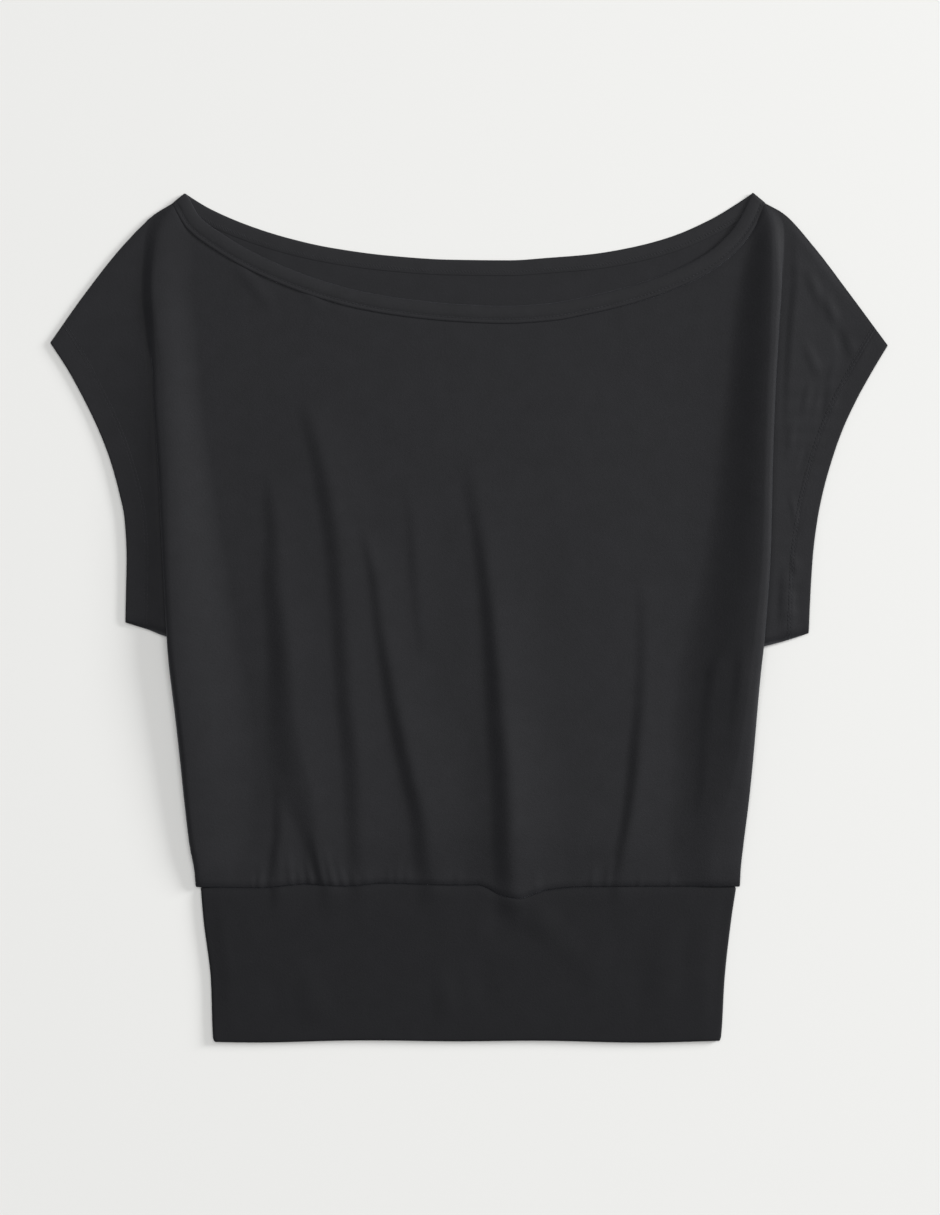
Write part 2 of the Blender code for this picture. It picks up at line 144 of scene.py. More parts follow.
# Sections of the bindings as points of distance from the sewn edge and height. The back's is
# measured from its top fold, and its other edge is sewn down over the back. At the neck's tips
# they turn into the shoulder seams; the front's drops there and the back's, whose drop is below 0,
# rises to meet it. The groove is where the front's is sewn.
BINDING_STEP = 2.0
TIP_BLEND = 9.0
TIP_DROP = 0.55
BACK_TIP_DROP = -0.5
GROOVE = 2.5
GROOVE_Z = 3.02
BINDING_SECTION = [
    (-0.6, 1.9), (-0.9, 2.35), (-0.8, 2.85), (-0.3, 3.15), (0.6, 3.28), (1.4, 3.24), (1.95, 3.12),
    (2.5, 3.02), (3.05, 3.14), (3.8, 3.32), (5.5, 3.48), (7.6, 3.46), (9.2, 3.34), (10.6, 3.13),
    (11.6, 2.92), (12.25, 2.7), (12.5, 2.3), (12.4, 1.85), (11.6, 1.7), (6.0, 1.6), (0.4, 1.6)]
BACK_BINDING_SECTION = [
    (0.3, 0.25), (0.0, 0.6), (0.15, 1.0), (0.8, 1.28), (2.5, 1.4), (5.0, 1.4), (7.2, 1.36),
    (8.2, 1.34), (9.4, 1.31), (10.6, 1.25), (11.4, 1.14), (11.8, 1.0), (11.9, 0.6), (11.2, 0.2),
    (6.0, 0.08), (1.2, 0.08)]

# Stitches: length and gap along the seam, then width and height of the thread; and the shares of
# the sleeve's opening between which its hem is sewn
NECK_STITCH, NECK_STITCH_THREAD = (2.3, 0.5), (0.5, 0.34)
HEM_STITCH, HEM_STITCH_THREAD = (2.4, 0.6), (0.5, 0.26)
HEM_STITCH_ENDS = (0.006, 0.994)

# The back binding's zigzag: its two lines, as distances in from the binding's low edge and
# heights, and its stitches
ZIGZAG_LOW, ZIGZAG_LOW_Z = 0.4, 1.16
ZIGZAG_HIGH, ZIGZAG_HIGH_Z = 3.4, 1.25
ZIGZAG_STITCH, ZIGZAG_THREAD = (1.0, 1.3), (0.5, 0.3)

# How the cloth lies: the body's loft and its fades, the rise to the waistband, the sag of the
# armpit line, the waistband's loft with the hollow under the deepest fold, the turn at the side
# folds, how round the long folds' tops are, how sharply the side folds fall away, and the slope of
# the shoulder seams at the neck
BODY_LOFT = 3.4
LOFT_TOP_Y = 262.0
LOFT_FADE = 190.0
LOFT_HALF_WIDTH = 190.0
LOFT_SIDE_FADE = 130.0
WAIST_RISE = 45.0
BODY_SAG = 22.0
BAND_LOFT = 1.0
BAND_HOLLOW = 0.9
BAND_HOLLOW_X = 30.0
BAND_HOLLOW_HALF_WIDTH = 26.0
BAND_HOLLOW_DOWN, BAND_HOLLOW_HALF_DOWN = 0.12, 0.3
TURN_RADIUS = 1.15
TURN_FADE = 34.0
SLEEVE_START = 4.0
RIDGE_ROUND = 3.0
FALL_SHARP = {"left": 0.0, "right": 0.25}
SHOULDER_SLOPE = np.array([0.77, 0.64])

# How finely the cloth is divided, how often a row is set against a side's line until both agree,
# and how the rows and columns crowd at the cloth's edges
BODY_COLUMNS = 216
BACK_COLUMNS = 150
ROLL_STEPS = 3
SLEEVE_COLUMNS = 34
ROWS_ABOVE_ARMPIT = 82
ROWS_BELOW_ARMPIT = 48
BAND_ROWS = 34
BAND_COLUMNS = 190
LINE_POINTS = 120
NECK_LINE_POINTS = 200
SEWN_LINE_POINTS = 400
ROLL_SETTLE = 4
BACK_SETTLE = 6
END_CROWDING = 0.35
WAIST_CROWDING = 1.35
TOP_ROWS = [0, 0.0012, 0.004, 0.008]

# Pitch of the knitted loops across and along, in metres
WALE = 0.00075
COURSE = 0.0006

# How all the cloth and thread takes the light, and the thread's paler ply
SHEEN_ROUGHNESS = 0.45
SHEEN_TINT = (0.86, 0.89, 1.0, 1.0)
SPECULAR = 0.285
PALE_PLY = 1.35

# Colours, linear, and the lights. The key is a broad lamp low on the right, its place given by
# its distance, its turn from +X towards +Y and its rise over the horizon. The top light comes
# from nearly straight above. Places, distances and the floor are in metres, angles in degrees.
FLOOR = (0.792, 0.792, 0.777)
SURROUND = (1.0, 1.0, 1.0)
SURROUND_STRENGTH = 0.19
KEY_POWER = 645.0
KEY_SIZE = 2.6
KEY_DISTANCE = 8.0
KEY_TURN = 21.0
KEY_RISE = 18.0
TOP_STRENGTH = 1.85
TOP_SPREAD = 60.0
TOP_PLACE = (0.15, 0.25, 2.0)
FLOOR_HALF = 30

# Stations along a side fold's section: crest, round the visible edge, inner bend, sleeve. At each
# it lies in from the visible edge by a share of the crest's distance and of how far the cloth
# turns under. Up to the inner bend it drops by a share of the way down to the low wall. Where a
# fold is only a soft slope, it falls that much faster than its stations run.
FOLD_KNOTS = np.array([0, 0.2, 0.38, 0.52, 0.66, 0.8, 0.92, 1.0, 1.08, 1.2, 1.4])
INNER_BEND = 7
FOLD_BY_CREST = np.array([1, 0.42, 0.08, 0, 0, 0, 0, 0, 0, 0, 0])
FOLD_BY_UNDER = np.array([0, 0, 0, 0, 0.14, 0.6, 0.96, 1, 0.96, 0.4, 0])
FOLD_DROP = np.array([0, 0.1, 0.32, 0.5, 0.8, 0.96, 1])
OPEN_FALL = 1.12

SIDES = ("left", "right")
INWARD = {"left": 1, "right": -1}


def table(names, rows):
    """Named columns from a table's rows."""
    return dict(zip(names.split(), np.array(rows, float).T))


# The front neck edge, where the binding is sewn on, from tip to tip
NECK = table("x y", [
    (-222, 310), (-211, 291.5), (-190, 275.5), (-167, 262), (-142, 250.5), (-115, 240.5),
    (-82, 231.5), (-46, 225.5), (-10, 222), (27, 220.5), (61, 222.5), (91, 228), (122, 235.5),
    (154, 246.5), (182, 260.5), (203, 278), (215, 295), (222, 310)])

# The top edge of the back neck, from tip to tip
BACK_NECK = table("x y", [
    (-213, 317.5), (-194, 306), (-165, 293.5), (-135, 284), (-104, 277), (-60, 271), (-15, 268),
    (30, 267.5), (61, 269.5), (91, 272), (121, 277), (151, 285), (181, 298), (198, 308), (213, 318)])

# The garment's outline on each side: shoulder and sleeve top, sleeve opening, underarm edge
SHOULDER = {
    "left": table("x y", [(-222, 310), (-235, 302), (-259, 278.5), (-288, 242), (-313.8, 205.5)]),
    "right": table("x y", [(222, 310), (236, 302), (257.5, 278.5), (285, 242.5), (313.8, 203.5)]),
}
OPENING = {
    "left": table("x y", [
        (-313.8, 205.5), (-300.5, 185), (-288.5, 163), (-277.5, 140), (-269, 118), (-262.5, 95),
        (-258, 73), (-256.5, 45), (-257, 18), (-257.5, -4)]),
    "right": table("x y", [
        (313.8, 203.5), (303, 185.5), (290.5, 163), (280, 140.5), (272, 118), (265.5, 95),
        (261, 73), (257.5, 45), (255.5, 12), (254.5, -12)]),
}
UNDERARM = {
    "left": table("x y", [(-257.5, -4), (-242, -8.5), (-228, -14), (-212, -18)]),
    "right": table("x y", [(254.5, -12), (248, -14.5), (232, -19), (208, -25)]),
}

# The side folds, from the shoulder down: the visible edge, how far inside it the crest is, the
# crest's height over the cloth at rest, how wide it falls away over the body, how far the cloth
# turns under, and how folded the section is (0 a soft slope, 1 turned right under itself).
SIDE_FOLD = {
    "left": table("y edge crest height fall under folded", [
        (306, -233, 10, 0.6, 14, 0, 0.0), (285, -241, 9, 2.6, 26, 0, 0.0),
        (245, -243, 7, 4.5, 30, 0, 0.0), (215, -241, 8, 5.7, 30, 2, 0.1),
        (185, -238, 8, 6.1, 29, 4, 0.45), (155, -235.5, 7, 7.0, 30, 7, 0.9),
        (110, -232, 6, 8.3, 34, 10, 1.0), (50, -229, 4.5, 9.5, 42, 12, 1.0),
        (-15, -225.5, 4, 10.2, 50, 13, 1.0), (-36, -224, 4, 10.0, 52, 12, 1.0),
        (-70, -220, 4, 9.3, 54, 10, 1.0), (-103, -216.3, 4, 8.3, 55, 8, 1.0),
        (-137, -212.8, 3.5, 7.0, 52, 6, 1.0), (-171, -208.8, 3.5, 5.4, 44, 5, 1.0),
        (-190, -205.3, 3.5, 3.4, 32, 4, 1.0), (-202, -204.3, 3.5, 1.5, 21, 4, 1.0)]),
    "right": table("y edge crest height fall under folded", [
        (306, -229, 7, 1.2, 13, 0, 0.0), (290, -234.5, 8, 4.2, 16, 0, 0.1),
        (255, -235, 8, 7.8, 25, 3, 0.5), (220, -232, 6, 9.2, 30, 5, 0.85),
        (190, -229.8, 5, 9.9, 32, 6, 1.0), (155, -228, 5, 10.3, 34, 7, 1.0),
        (110, -226.5, 5, 10.8, 38, 9, 1.0), (50, -225, 5.5, 11.7, 45, 11, 1.0),
        (-22, -219.8, 7, 12.6, 55, 12, 1.0), (-36, -218.3, 7, 12.6, 57, 11, 1.0),
        (-70, -215.3, 8, 11.3, 58, 9, 1.0), (-103, -212.5, 11, 9.2, 52, 8, 1.0),
        (-137, -209.2, 16, 6.6, 44, 6, 1.0), (-171, -205, 22, 4.4, 36, 5, 1.0),
        (-190, -203, 22, 2.9, 30, 4, 1.0), (-202, -202.5, 20, 1.5, 24, 4, 1.0)]),
}

# How much the fold lifts the sleeve that comes out from under it, from the shoulder down
SLEEVE_LIFT = {
    "left": table("y lift", [(306, 0), (235, 0.6), (190, 2.6), (150, 3.8), (-20, 3.6), (-36, 3.6)]),
    "right": table("y lift", [
        (306, 0), (290, 0.8), (262, 2.6), (225, 3.6), (190, 4.0), (150, 4.0), (60, 3.8),
        (-36, 3.6)]),
}

# The long soft folds of the body, each from its top down: the crest, its height, and how wide it
# falls away to the left and to the right
FOLDS = [table("x y height left right", rows) for rows in [
    [(-121, 168, 0, 12, 26), (-117, 148, 0.9, 12, 28), (-108, 118, 1.8, 13, 30),
     (-102, 88, 2.3, 14, 33), (-97, 58, 2.3, 14, 33), (-94, 28, 2.2, 14, 33),
     (-91.5, -2, 2.2, 14, 32), (-90, -32, 2.3, 14, 30),
     (-88, -62, 2.3, 14, 30), (-84, -92, 2.5, 15, 30), (-82, -122, 2.3, 15, 30),
     (-81, -165, 1.6, 13, 28), (-80, -204, 0.8, 12, 24)],
    [(-148, 110, 0, 9, 24), (-145.5, 88, 1.1, 11, 26), (-142, 58, 1.7, 13, 30),
     (-141, 28, 2.5, 16, 34), (-137, -2, 3.0, 18, 36), (-134, -32, 3.5, 20, 36),
     (-132, -62, 3.6, 22, 36),
     (-128, -92, 3.5, 27, 36), (-121, -122, 3.4, 33, 32), (-115, -152, 2.7, 20, 30),
     (-112, -175, 2.2, 13, 28), (-103, -204, 1.1, 10, 20)],
    [(-141, -118, 0, 9, 20), (-140, -138, 0.9, 9, 24), (-139.5, -160, 1.6, 9, 26),
     (-142, -180, 1.8, 8, 24), (-143, -204, 1.1, 7, 18)],
    [(-78, 70, 0, 8, 22), (-74, 52, 0.8, 8, 24), (-68, 28, 1.7, 9, 26), (-64, -2, 1.9, 10, 30),
     (-58.5, -32, 2.5, 11, 34), (-53, -62, 3.0, 12, 38), (-46.5, -92, 3.5, 13, 46),
     (-39, -122, 3.5, 14, 52), (-31.5, -152, 3.2, 15, 52), (-29, -175, 2.8, 16, 46),
     (-25, -204, 1.4, 15, 32)],
    [(-43, 98, 0, 8, 20), (-40, 58, 0.8, 8, 20), (-38, 28, 0.9, 9, 20), (-35, -2, 0.7, 9, 20),
     (-30, -35, 0, 9, 20)],
    [(3, 124, 0, 12, 60), (8, 88, 1.4, 14, 72), (12.5, 58, 2.2, 12, 56), (16.5, 28, 2.8, 12, 46),
     (20, -2, 3.4, 13, 44), (23, -32, 4.0, 14, 44), (26, -62, 4.4, 16, 44), (28.5, -92, 4.4, 17, 42),
     (31, -122, 4.2, 17, 42), (32, -152, 4.2, 17, 42), (32.5, -175, 4.0, 17, 40),
     (35, -213, 2.4, 18, 34)],
    [(28, -66, 0, 30, 30), (28.5, -92, 1.2, 36, 36), (31, -122, 2.2, 42, 42),
     (32, -152, 2.6, 44, 46), (32.5, -175, 2.4, 44, 44), (35, -213, 1.1, 40, 36)],
    [(130, 34, 0, 9, 26), (132.5, 8, 0.6, 9, 28), (133.5, -22, 1.1, 10, 32),
     (132.5, -62, 1.9, 11, 36), (129.5, -92, 2.6, 11, 38), (127, -122, 2.9, 11, 38),
     (122.5, -152, 2.7, 10, 34),
     (118, -175, 2.1, 10, 30), (113, -204, 0.8, 10, 22)],
    [(192, -20, 0, 9, 14), (184, -44, 0.8, 9, 16), (180, -84, 0.5, 9, 18), (177, -128, 0.5, 8, 18),
     (173, -150, 0, 8, 16)],
    [(206, -18, 0, 8, 10), (204, -44, 0.7, 8, 10), (200, -80, 0.3, 8, 10), (198, -104, 0, 8, 10)],
]]

# The one soft fold that lies on the right sleeve beside the body
SLEEVE_FOLDS = [table("x y height left right", rows) for rows in [
    [(240, 290, 0, 9, 26), (240.5, 268, 0.9, 10, 34), (241, 232, 1.5, 11, 46),
     (240, 200, 1.3, 11, 44), (239, 160, 0.6, 10, 36), (238, 120, 0, 9, 30)],
]]

# Gathers along the waist seam: where they start, how far up they run and lean, their height over
# the cloth and their half width, and how much wider they get on the way up
GATHER_SPREAD = 0.6
GATHERS = table("x run lean height half", [
    (-163, 14, 1, 0.41, 2.7), (-157, 22, 2, 0.68, 3.2), (-148, 30, 1, 0.54, 3.2),
    (-133, 36, -3, 0.74, 3.4), (-126, 18, -2, 0.54, 2.9), (-118, 34, -6, 0.81, 3.4),
    (-109, 50, -10, 0.81, 3.8), (-101, 40, -10, 0.74, 3.2), (-93, 26, -7, 0.68, 3.1),
    (-85, 17, -3, 0.54, 2.7), (-76, 12, -1, 0.41, 2.7), (-60, 20, 2, 0.54, 3.1),
    (-54, 30, 3, 0.61, 3.4), (-46, 17, 0, 0.41, 2.9), (-8, 26, 2, 0.41, 3.6),
    (52, 30, -5, 0.54, 4.5), (92, 22, 3, 0.54, 3.4), (103, 32, 5, 0.61, 3.4),
    (128, 18, 2, 0.47, 3.1), (151, 16, 2, 0.41, 3.2)])

# The waist seam: nearly level, with one dip under the deepest fold
WAIST = table("x y", [
    (-206, -202.2), (-180, -202.8), (-156, -203), (-123, -200.2), (-93, -201.8), (-65, -199.6),
    (-30, -200.6), (-7, -201), (6, -200.8), (14, -203.4), (22, -207.6), (30, -210), (37, -210.8),
    (46, -208.4), (56, -205), (80, -202.4), (131, -201.9), (206, -202)])

# The waistband's side edges, from the waist seam to the hem
BAND_SIDE = {
    "left": table("y x", [(-317.8, -191), (-314, -192), (-272, -193.5), (-227, -199), (-204, -201)]),
    "right": table("y x", [(-317.8, 188), (-314, 189), (-272, 191.5), (-227, 196.5), (-204, 200)]),
}

# Small creases that only the looks have. Each runs between two points; a negative height is a
# trough. The half width is across it, and it runs that share of its length to each side of its
# middle.
CREASE_RUN = 0.6
FRONT_CREASES = table("x1 y1 x2 y2 height half", [
    (-180, 272, -145, 230, 0.9, 8), (-135, 262, -105, 226, 0.8, 9)])
SLEEVE_CREASES = table("x1 y1 x2 y2 height half", [
    (252, 262, 266, 230, 1.0, 6), (264, 246, 279, 212, 1.1, 6),
    (274, 226, 282, 190, -0.8, 6), (250, 208, 264, 178, 0.8, 6), (256, 178, 250, 150, 0.6, 5),
    (268, 176, 262, 146, -0.6, 5), (243, 150, 239, 118, 0.4, 5), (254, 132, 246, 104, -0.35, 4),
    (240, 96, 246, 66, 0.4, 4), (250, 84, 243, 52, -0.3, 4), (240, 52, 248, 26, 0.45, 4.5),
    (238, 40, 237.5, -14, 1.2, 9), (245, 24, 247, -8, -0.4, 4), (282, 214, 292, 190, 0.45, 5),
    (300, 205, 290, 186, 0.4, 5), (276, 196, 268, 168, 0.4, 5), (284, 176, 274, 150, -0.35, 4.5)])
BAND_CREASES = table("x1 y1 x2 y2 height half", [
    (-124, -258, -111, -310, 0.7, 16), (-152, -262, -140, -306, -0.3, 12),
    (-21, -258, -14, -310, 0.6, 13), (42, -214, 72, -244, 0.9, 16), (60, -232, 96, -272, 0.5, 15),
    (14, -214, 4, -252, 0.35, 11), (4, -250, 20, -304, -0.35, 14), (104, -226, 88, -292, 0.55, 15),
    (130, -234, 122, -306, -0.4, 14), (152, -222, 144, -302, 0.5, 15),
    (177, -214, 171, -284, 0.4, 13)])
BACK_CREASES = table("x1 y1 x2 y2 height half", [
    (-120, 150, -92, -150, 0.9, 12), (-60, 60, -30, -190, 0.8, 10), (16, 90, 34, -190, 1.0, 12),
    (96, 40, 108, -180, 0.7, 10), (160, 120, 150, -150, 0.8, 12), (-175, 40, -165, -170, 0.6, 10),
    (-262, 210, -240, 130, 0.5, 9), (266, 200, 244, 120, 0.5, 9)])


def through(x, xs, ys):
    """A smooth line through a table's points, xs rising, that never swings past them."""
    x = np.asarray(x, float)
    step = np.diff(xs)
    slope = np.diff(ys, axis=0) / step.reshape(-1, *[1] * (ys.ndim - 1))
    product = slope[:-1] * slope[1:]
    total = slope[:-1] + slope[1:]
    middle = np.where(product > 0, 2 * product / np.where(total == 0, 1, total), 0)
    tangent = np.concatenate([slope[:1], middle, slope[-1:]])
    k = np.clip(np.searchsorted(xs, x, side="right") - 1, 0, len(step) - 1)
    t = np.clip((x - xs[k]) / step[k], 0, 1)
    bend = step[k] * t * (1 - t)
    return (ys[k] + (ys[k + 1] - ys[k]) * ease(t)
            + bend * ((1 - t) * tangent[k] - t * tangent[k + 1]))


def ease(t):
    """A soft step from 0 to 1."""
    t = np.clip(t, 0, 1)
    return t * t * (3 - 2 * t)


def bell(d, half):
    """1 in the middle, falling softly to 0 at a distance of half on either side."""
    return 0.5 + 0.5 * np.cos(np.pi * np.clip(np.abs(d) / half, 0, 1))


def ridge(d, half):
    """Like a bell, but steepest beside its top, as one side of a crease in cloth."""
    run = np.sqrt(d * d + RIDGE_ROUND * RIDGE_ROUND) - RIDGE_ROUND
    return (1 - np.clip(run / half, 0, 1)) ** 2


def rows_of(columns):
    """A table's rows, each as a dictionary."""
    return [dict(zip(columns, row)) for row in zip(*columns.values())]


def reach_along(points):
    """How far along a line each of its points is."""
    return np.concatenate([[0], np.cumsum(np.linalg.norm(np.diff(points, axis=0), axis=1))])


def distance_to(x, y, line):
    """How far each point is from a line of close points."""
    nearest = np.full(np.shape(x), np.inf)
    for px, py in line:
        nearest = np.minimum(nearest, np.hypot(x - px, y - py))
    return nearest


def creased(x, y, creases):
    """The height that a table of small creases adds."""
    z = np.zeros(np.shape(x))
    for crease in rows_of(creases):
        run = np.array([crease["x2"] - crease["x1"], crease["y2"] - crease["y1"]])
        length = np.linalg.norm(run)
        run = run / length
        s = ((x - crease["x1"]) * run[0] + (y - crease["y1"]) * run[1]) / length
        side = (y - crease["y1"]) * run[0] - (x - crease["x1"]) * run[1]
        z = z + crease["height"] * bell(s - 0.5, CREASE_RUN) * bell(side, crease["half"])
    return z


def folded_up(x, y, folds):
    """The height that long soft folds add."""
    z = np.zeros(np.shape(x))
    for fold in folds:
        crest, height, left, right = (through(y, fold["y"][::-1], fold[name][::-1])
                                      for name in ("x", "height", "left", "right"))
        inside = (y <= fold["y"][0]) & (y >= fold["y"][-1])
        across = np.where(x < crest, bell(x - crest, left), ridge(x - crest, right))
        z = z + height * inside * across
    return z


def fold_value(side, name, y):
    """A side fold's named size at a height y."""
    rows = SIDE_FOLD[side]
    return through(y, rows["y"][::-1], rows[name][::-1])


def side_edge(side, y):
    """The visible edge of the body's side fold, as an x."""
    return INWARD[side] * fold_value(side, "edge", y)


def waist_line(x):
    """The waist seam, as a y."""
    return through(x, WAIST["x"], WAIST["y"])


def armpit_line(x):
    """The underarm edges, and the line between them that sags across the body."""
    left, right = UNDERARM["left"], UNDERARM["right"]
    t = np.clip((x - left["x"][-1]) / (right["x"][-1] - left["x"][-1]), 0, 1)
    middle = left["y"][-1] + (right["y"][-1] - left["y"][-1]) * t - BODY_SAG * np.sin(np.pi * t)
    outer = np.where(x < 0, through(x, left["x"], left["y"]),
                     through(x, right["x"][::-1], right["y"][::-1]))
    return np.where((t > 0) & (t < 1), middle, outer)


def shoulder_line(x):
    """The shoulder seams and sleeve tops, as a y."""
    left, right = SHOULDER["left"], SHOULDER["right"]
    return np.where(x < 0, through(x, left["x"][::-1], left["y"][::-1]),
                    through(x, right["x"], right["y"]))


def top_line(x):
    """The top edge of the front: the neck seam, then the shoulder seam on each side."""
    return np.where(np.abs(x) < NECK["x"][-1], through(x, NECK["x"], NECK["y"]), shoulder_line(x))


def base_height(x, y):
    """The middle of the front's wall over the ground, without its folds."""
    down = ease((LOFT_TOP_Y - y) / LOFT_FADE)
    loft = BODY_LOFT * down * ease((LOFT_HALF_WIDTH - np.abs(x)) / LOFT_SIDE_FADE)
    return REST_Z + loft + (BAND_FRONT_Z - REST_Z - loft) * ease(1 - (y - WAIST_Y) / WAIST_RISE)


def body_height(x, y):
    """The middle of the front's wall over the ground, on the body between the two crests."""
    z = base_height(x, y) + creased(x, y, FRONT_CREASES)
    for side in SIDES:
        inward = INWARD[side] * (x - side_edge(side, y)) - fold_value(side, "crest", y)
        share = np.clip(inward / fold_value(side, "fall", y), 0, 1)
        sharp = FALL_SHARP[side]
        fall = (1 - sharp) * (1 - ease(share)) + sharp * (1 - share) ** 2
        z = z + fold_value(side, "height", y) * fall
    z = z + folded_up(x, y, FOLDS)
    for gather in rows_of(GATHERS):
        up = np.clip((y - waist_line(x)) / gather["run"], 0, 1)
        across = x - gather["x"] - gather["lean"] * up
        z = z + gather["height"] * ease(1 - up) * bell(across, gather["half"] * (1 + GATHER_SPREAD * up))
    return z


def sleeve_height(side, out, y):
    """The middle of a front sleeve's wall over the ground, at a distance out from the side fold.
    Where the body turns under itself it lifts the sleeve beside it."""
    lift = through(y, SLEEVE_LIFT[side]["y"][::-1], SLEEVE_LIFT[side]["lift"][::-1])
    share = np.clip((out - SLEEVE_START) / SLEEVE_LIFT_REACH[side], 0, 1)
    return REST_Z + lift * (1 - share) ** 2


def pucker(side, y, inset):
    """The small waves that the sewing draws into a sleeve's hem."""
    drift = PUCKER_DRIFT * np.sin(y / PUCKER_DRIFT_RUN)
    wave = np.sin(y * 2 * np.pi / PUCKER_PITCH + drift)
    share = 1 - PUCKER_SWELL + PUCKER_SWELL * np.sin(y / PUCKER_SWELL_RUN + 1.0)
    return PUCKER[side] * wave * share * bell(inset - HEM_STITCHES[0], PUCKER_REACH)


def roll_section(side, y, t):
    """A side fold's section, for t from 0 at the crest to 1 at the inner bend and 1.4 out on the
    sleeve: how far in from the visible edge, and the wall's height, at each height y."""
    crest, height = fold_value(side, "crest", y), fold_value(side, "height", y)
    under, folded = fold_value(side, "under", y), fold_value(side, "folded", y)
    base = base_height(side_edge(side, y) + INWARD[side] * crest, y)
    top = base + height
    over_sleeve = ease((y - UNDERARM[side]["y"][-1] + TURN_FADE) / TURN_FADE)
    rest = sleeve_height(side, 0 * y, y) * over_sleeve + REST_Z * (1 - over_sleeve)
    low = np.minimum(rest + 2 * TURN_RADIUS * over_sleeve, base + 0.5 * height)
    turned_in = np.outer(FOLD_BY_CREST, crest) + np.outer(FOLD_BY_UNDER, under)
    turned_in[INNER_BEND] += TURN_RADIUS * folded
    turned_in[-1] -= SLEEVE_START
    turned_up = np.stack([*(top - np.outer(FOLD_DROP, top - low)), 0.5 * (rest + low),
                          rest, rest, rest])
    step = (FOLD_KNOTS / FOLD_KNOTS[-1])[:, None]
    slope_in = crest - (SLEEVE_START + crest) * step
    slope_up = rest + (top - rest) * (1 - ease(OPEN_FALL * step))
    inward = slope_in + (turned_in - slope_in) * folded
    upward = slope_up + (turned_up - slope_up) * folded
    return through(t, FOLD_KNOTS, inward), through(t, FOLD_KNOTS, upward)


def body_rows():
    """Rows of the front: 0 the top line, 1 the armpit line, 2 the waist seam."""
    above = np.linspace(0, 1, ROWS_ABOVE_ARMPIT + 1)
    below = 2 - (1 - np.linspace(0, 1, ROWS_BELOW_ARMPIT + 1)) ** WAIST_CROWDING
    return np.concatenate([TOP_ROWS, above[1:], below[1:]])


def crowded(even):
    """Even shares drawn a little towards both ends."""
    return even + END_CROWDING * (0.5 - 0.5 * np.cos(np.pi * even) - even)


def level_waist(x):
    """The waist seam of the back, which lies straight."""
    return WAIST_Y + 0 * x


def row_height(x, row, top, waist=waist_line):
    """The y of a row at x, between a given top line and waist."""
    middle, low = armpit_line(x), waist(x)
    return np.where(row < 1, top(x) + (middle - top(x)) * row, middle + (low - middle) * (row - 1))


def roll_points(side, rows, ts):
    """Points of a side fold for each row, from the crest at t = 0 outward and under."""
    columns = []
    for t in ts:
        x = np.full(len(rows), INWARD[side] * NECK["x"][0])
        for _ in range(ROLL_SETTLE):
            y = row_height(x, rows, top_line)
            d, z = roll_section(side, y, t)
            x = side_edge(side, y) + INWARD[side] * d
        columns.append(np.stack([x, y, z], axis=1))
    return np.stack(columns, axis=1)


def finer(knots):
    """Knots with more steps between them."""
    steps = np.linspace(0, len(knots) - 1, ROLL_STEPS * (len(knots) - 1) + 1)
    return np.interp(steps, np.arange(len(knots)), knots)


def patch(top, low, inner, outer, s, t):
    """Points that fill the space between four edges. Shares s run along top and low, from the
    inner edge to the outer one, and shares t run down the inner and outer edges."""
    s, t = s[None, :, None], t[:, None, None]
    return ((1 - s) * inner[:, None] + s * outer[:, None] + (1 - t) * top[None] + t * low[None]
            - (1 - s) * ((1 - t) * inner[0] + t * inner[-1])
            - s * ((1 - t) * outer[0] + t * outer[-1]))


def along_at(line, shares):
    """Points at shares of the length of a smooth line through a table's x and y."""
    reach = np.concatenate([[0], np.cumsum(np.hypot(np.diff(line["x"]), np.diff(line["y"])))])
    s = np.asarray(shares) * reach[-1]
    return np.stack([through(s, reach, line["x"]), through(s, reach, line["y"])], axis=1)


def hem_lines(side, shares):
    """The sleeve opening's edge, and the line inside it where the hem's cloth ends."""
    edge = along_at(OPENING[side], shares)
    heading = np.gradient(edge, axis=0)
    across = np.stack([-heading[:, 1], heading[:, 0]], axis=1) * INWARD[side]
    inner = edge + HEM_REACH * across / np.linalg.norm(across, axis=1)[:, None]
    top_x = edge[0, 0] + INWARD[side] * HEM_TOP_REACH
    low_x = edge[-1, 0] + INWARD[side] * HEM_REACH
    top_shift = np.array([top_x, shoulder_line(top_x)]) - inner[0]
    low_shift = np.array([low_x, armpit_line(low_x)]) - inner[-1]
    blend = np.asarray(shares)[:, None]
    return edge, (inner + top_shift * ease(1 - blend / HEM_END_BLEND)
                  + low_shift * ease(1 - (1 - blend) / HEM_END_BLEND))


def hem_patch(side, shares):
    """The hem's points from its inner line to the opening's edge, and how far in each is."""
    edge, inner = hem_lines(side, shares)
    flat = edge[:, None] + (inner - edge)[:, None] * (HEM_STEPS / HEM_REACH)[None, :, None]
    return flat, np.broadcast_to(HEM_STEPS, flat.shape[:2])


def hem_relief(side, inset):
    """How much the turned hem stands over the single cloth, with two sewn lines pressed in."""
    raised = ease((HEM_WIDTH - inset) / HEM_STEP_WIDTH)
    sewn = sum(bell(inset - line, HEM_STITCH_HALF) for line in HEM_STITCHES)
    return HEM_RISE[side] * (raised - HEM_STITCH_SINK * sewn)


def hem_wall(side, inset):
    """Half of the wall at a sleeve's hem, rounded off at the opening."""
    half = JERSEY_HALF + np.clip(hem_relief(side, inset), HEM_THINNEST, 1) / 2
    return half * rim(inset, 1.0, HEM_EDGE_ROUND)


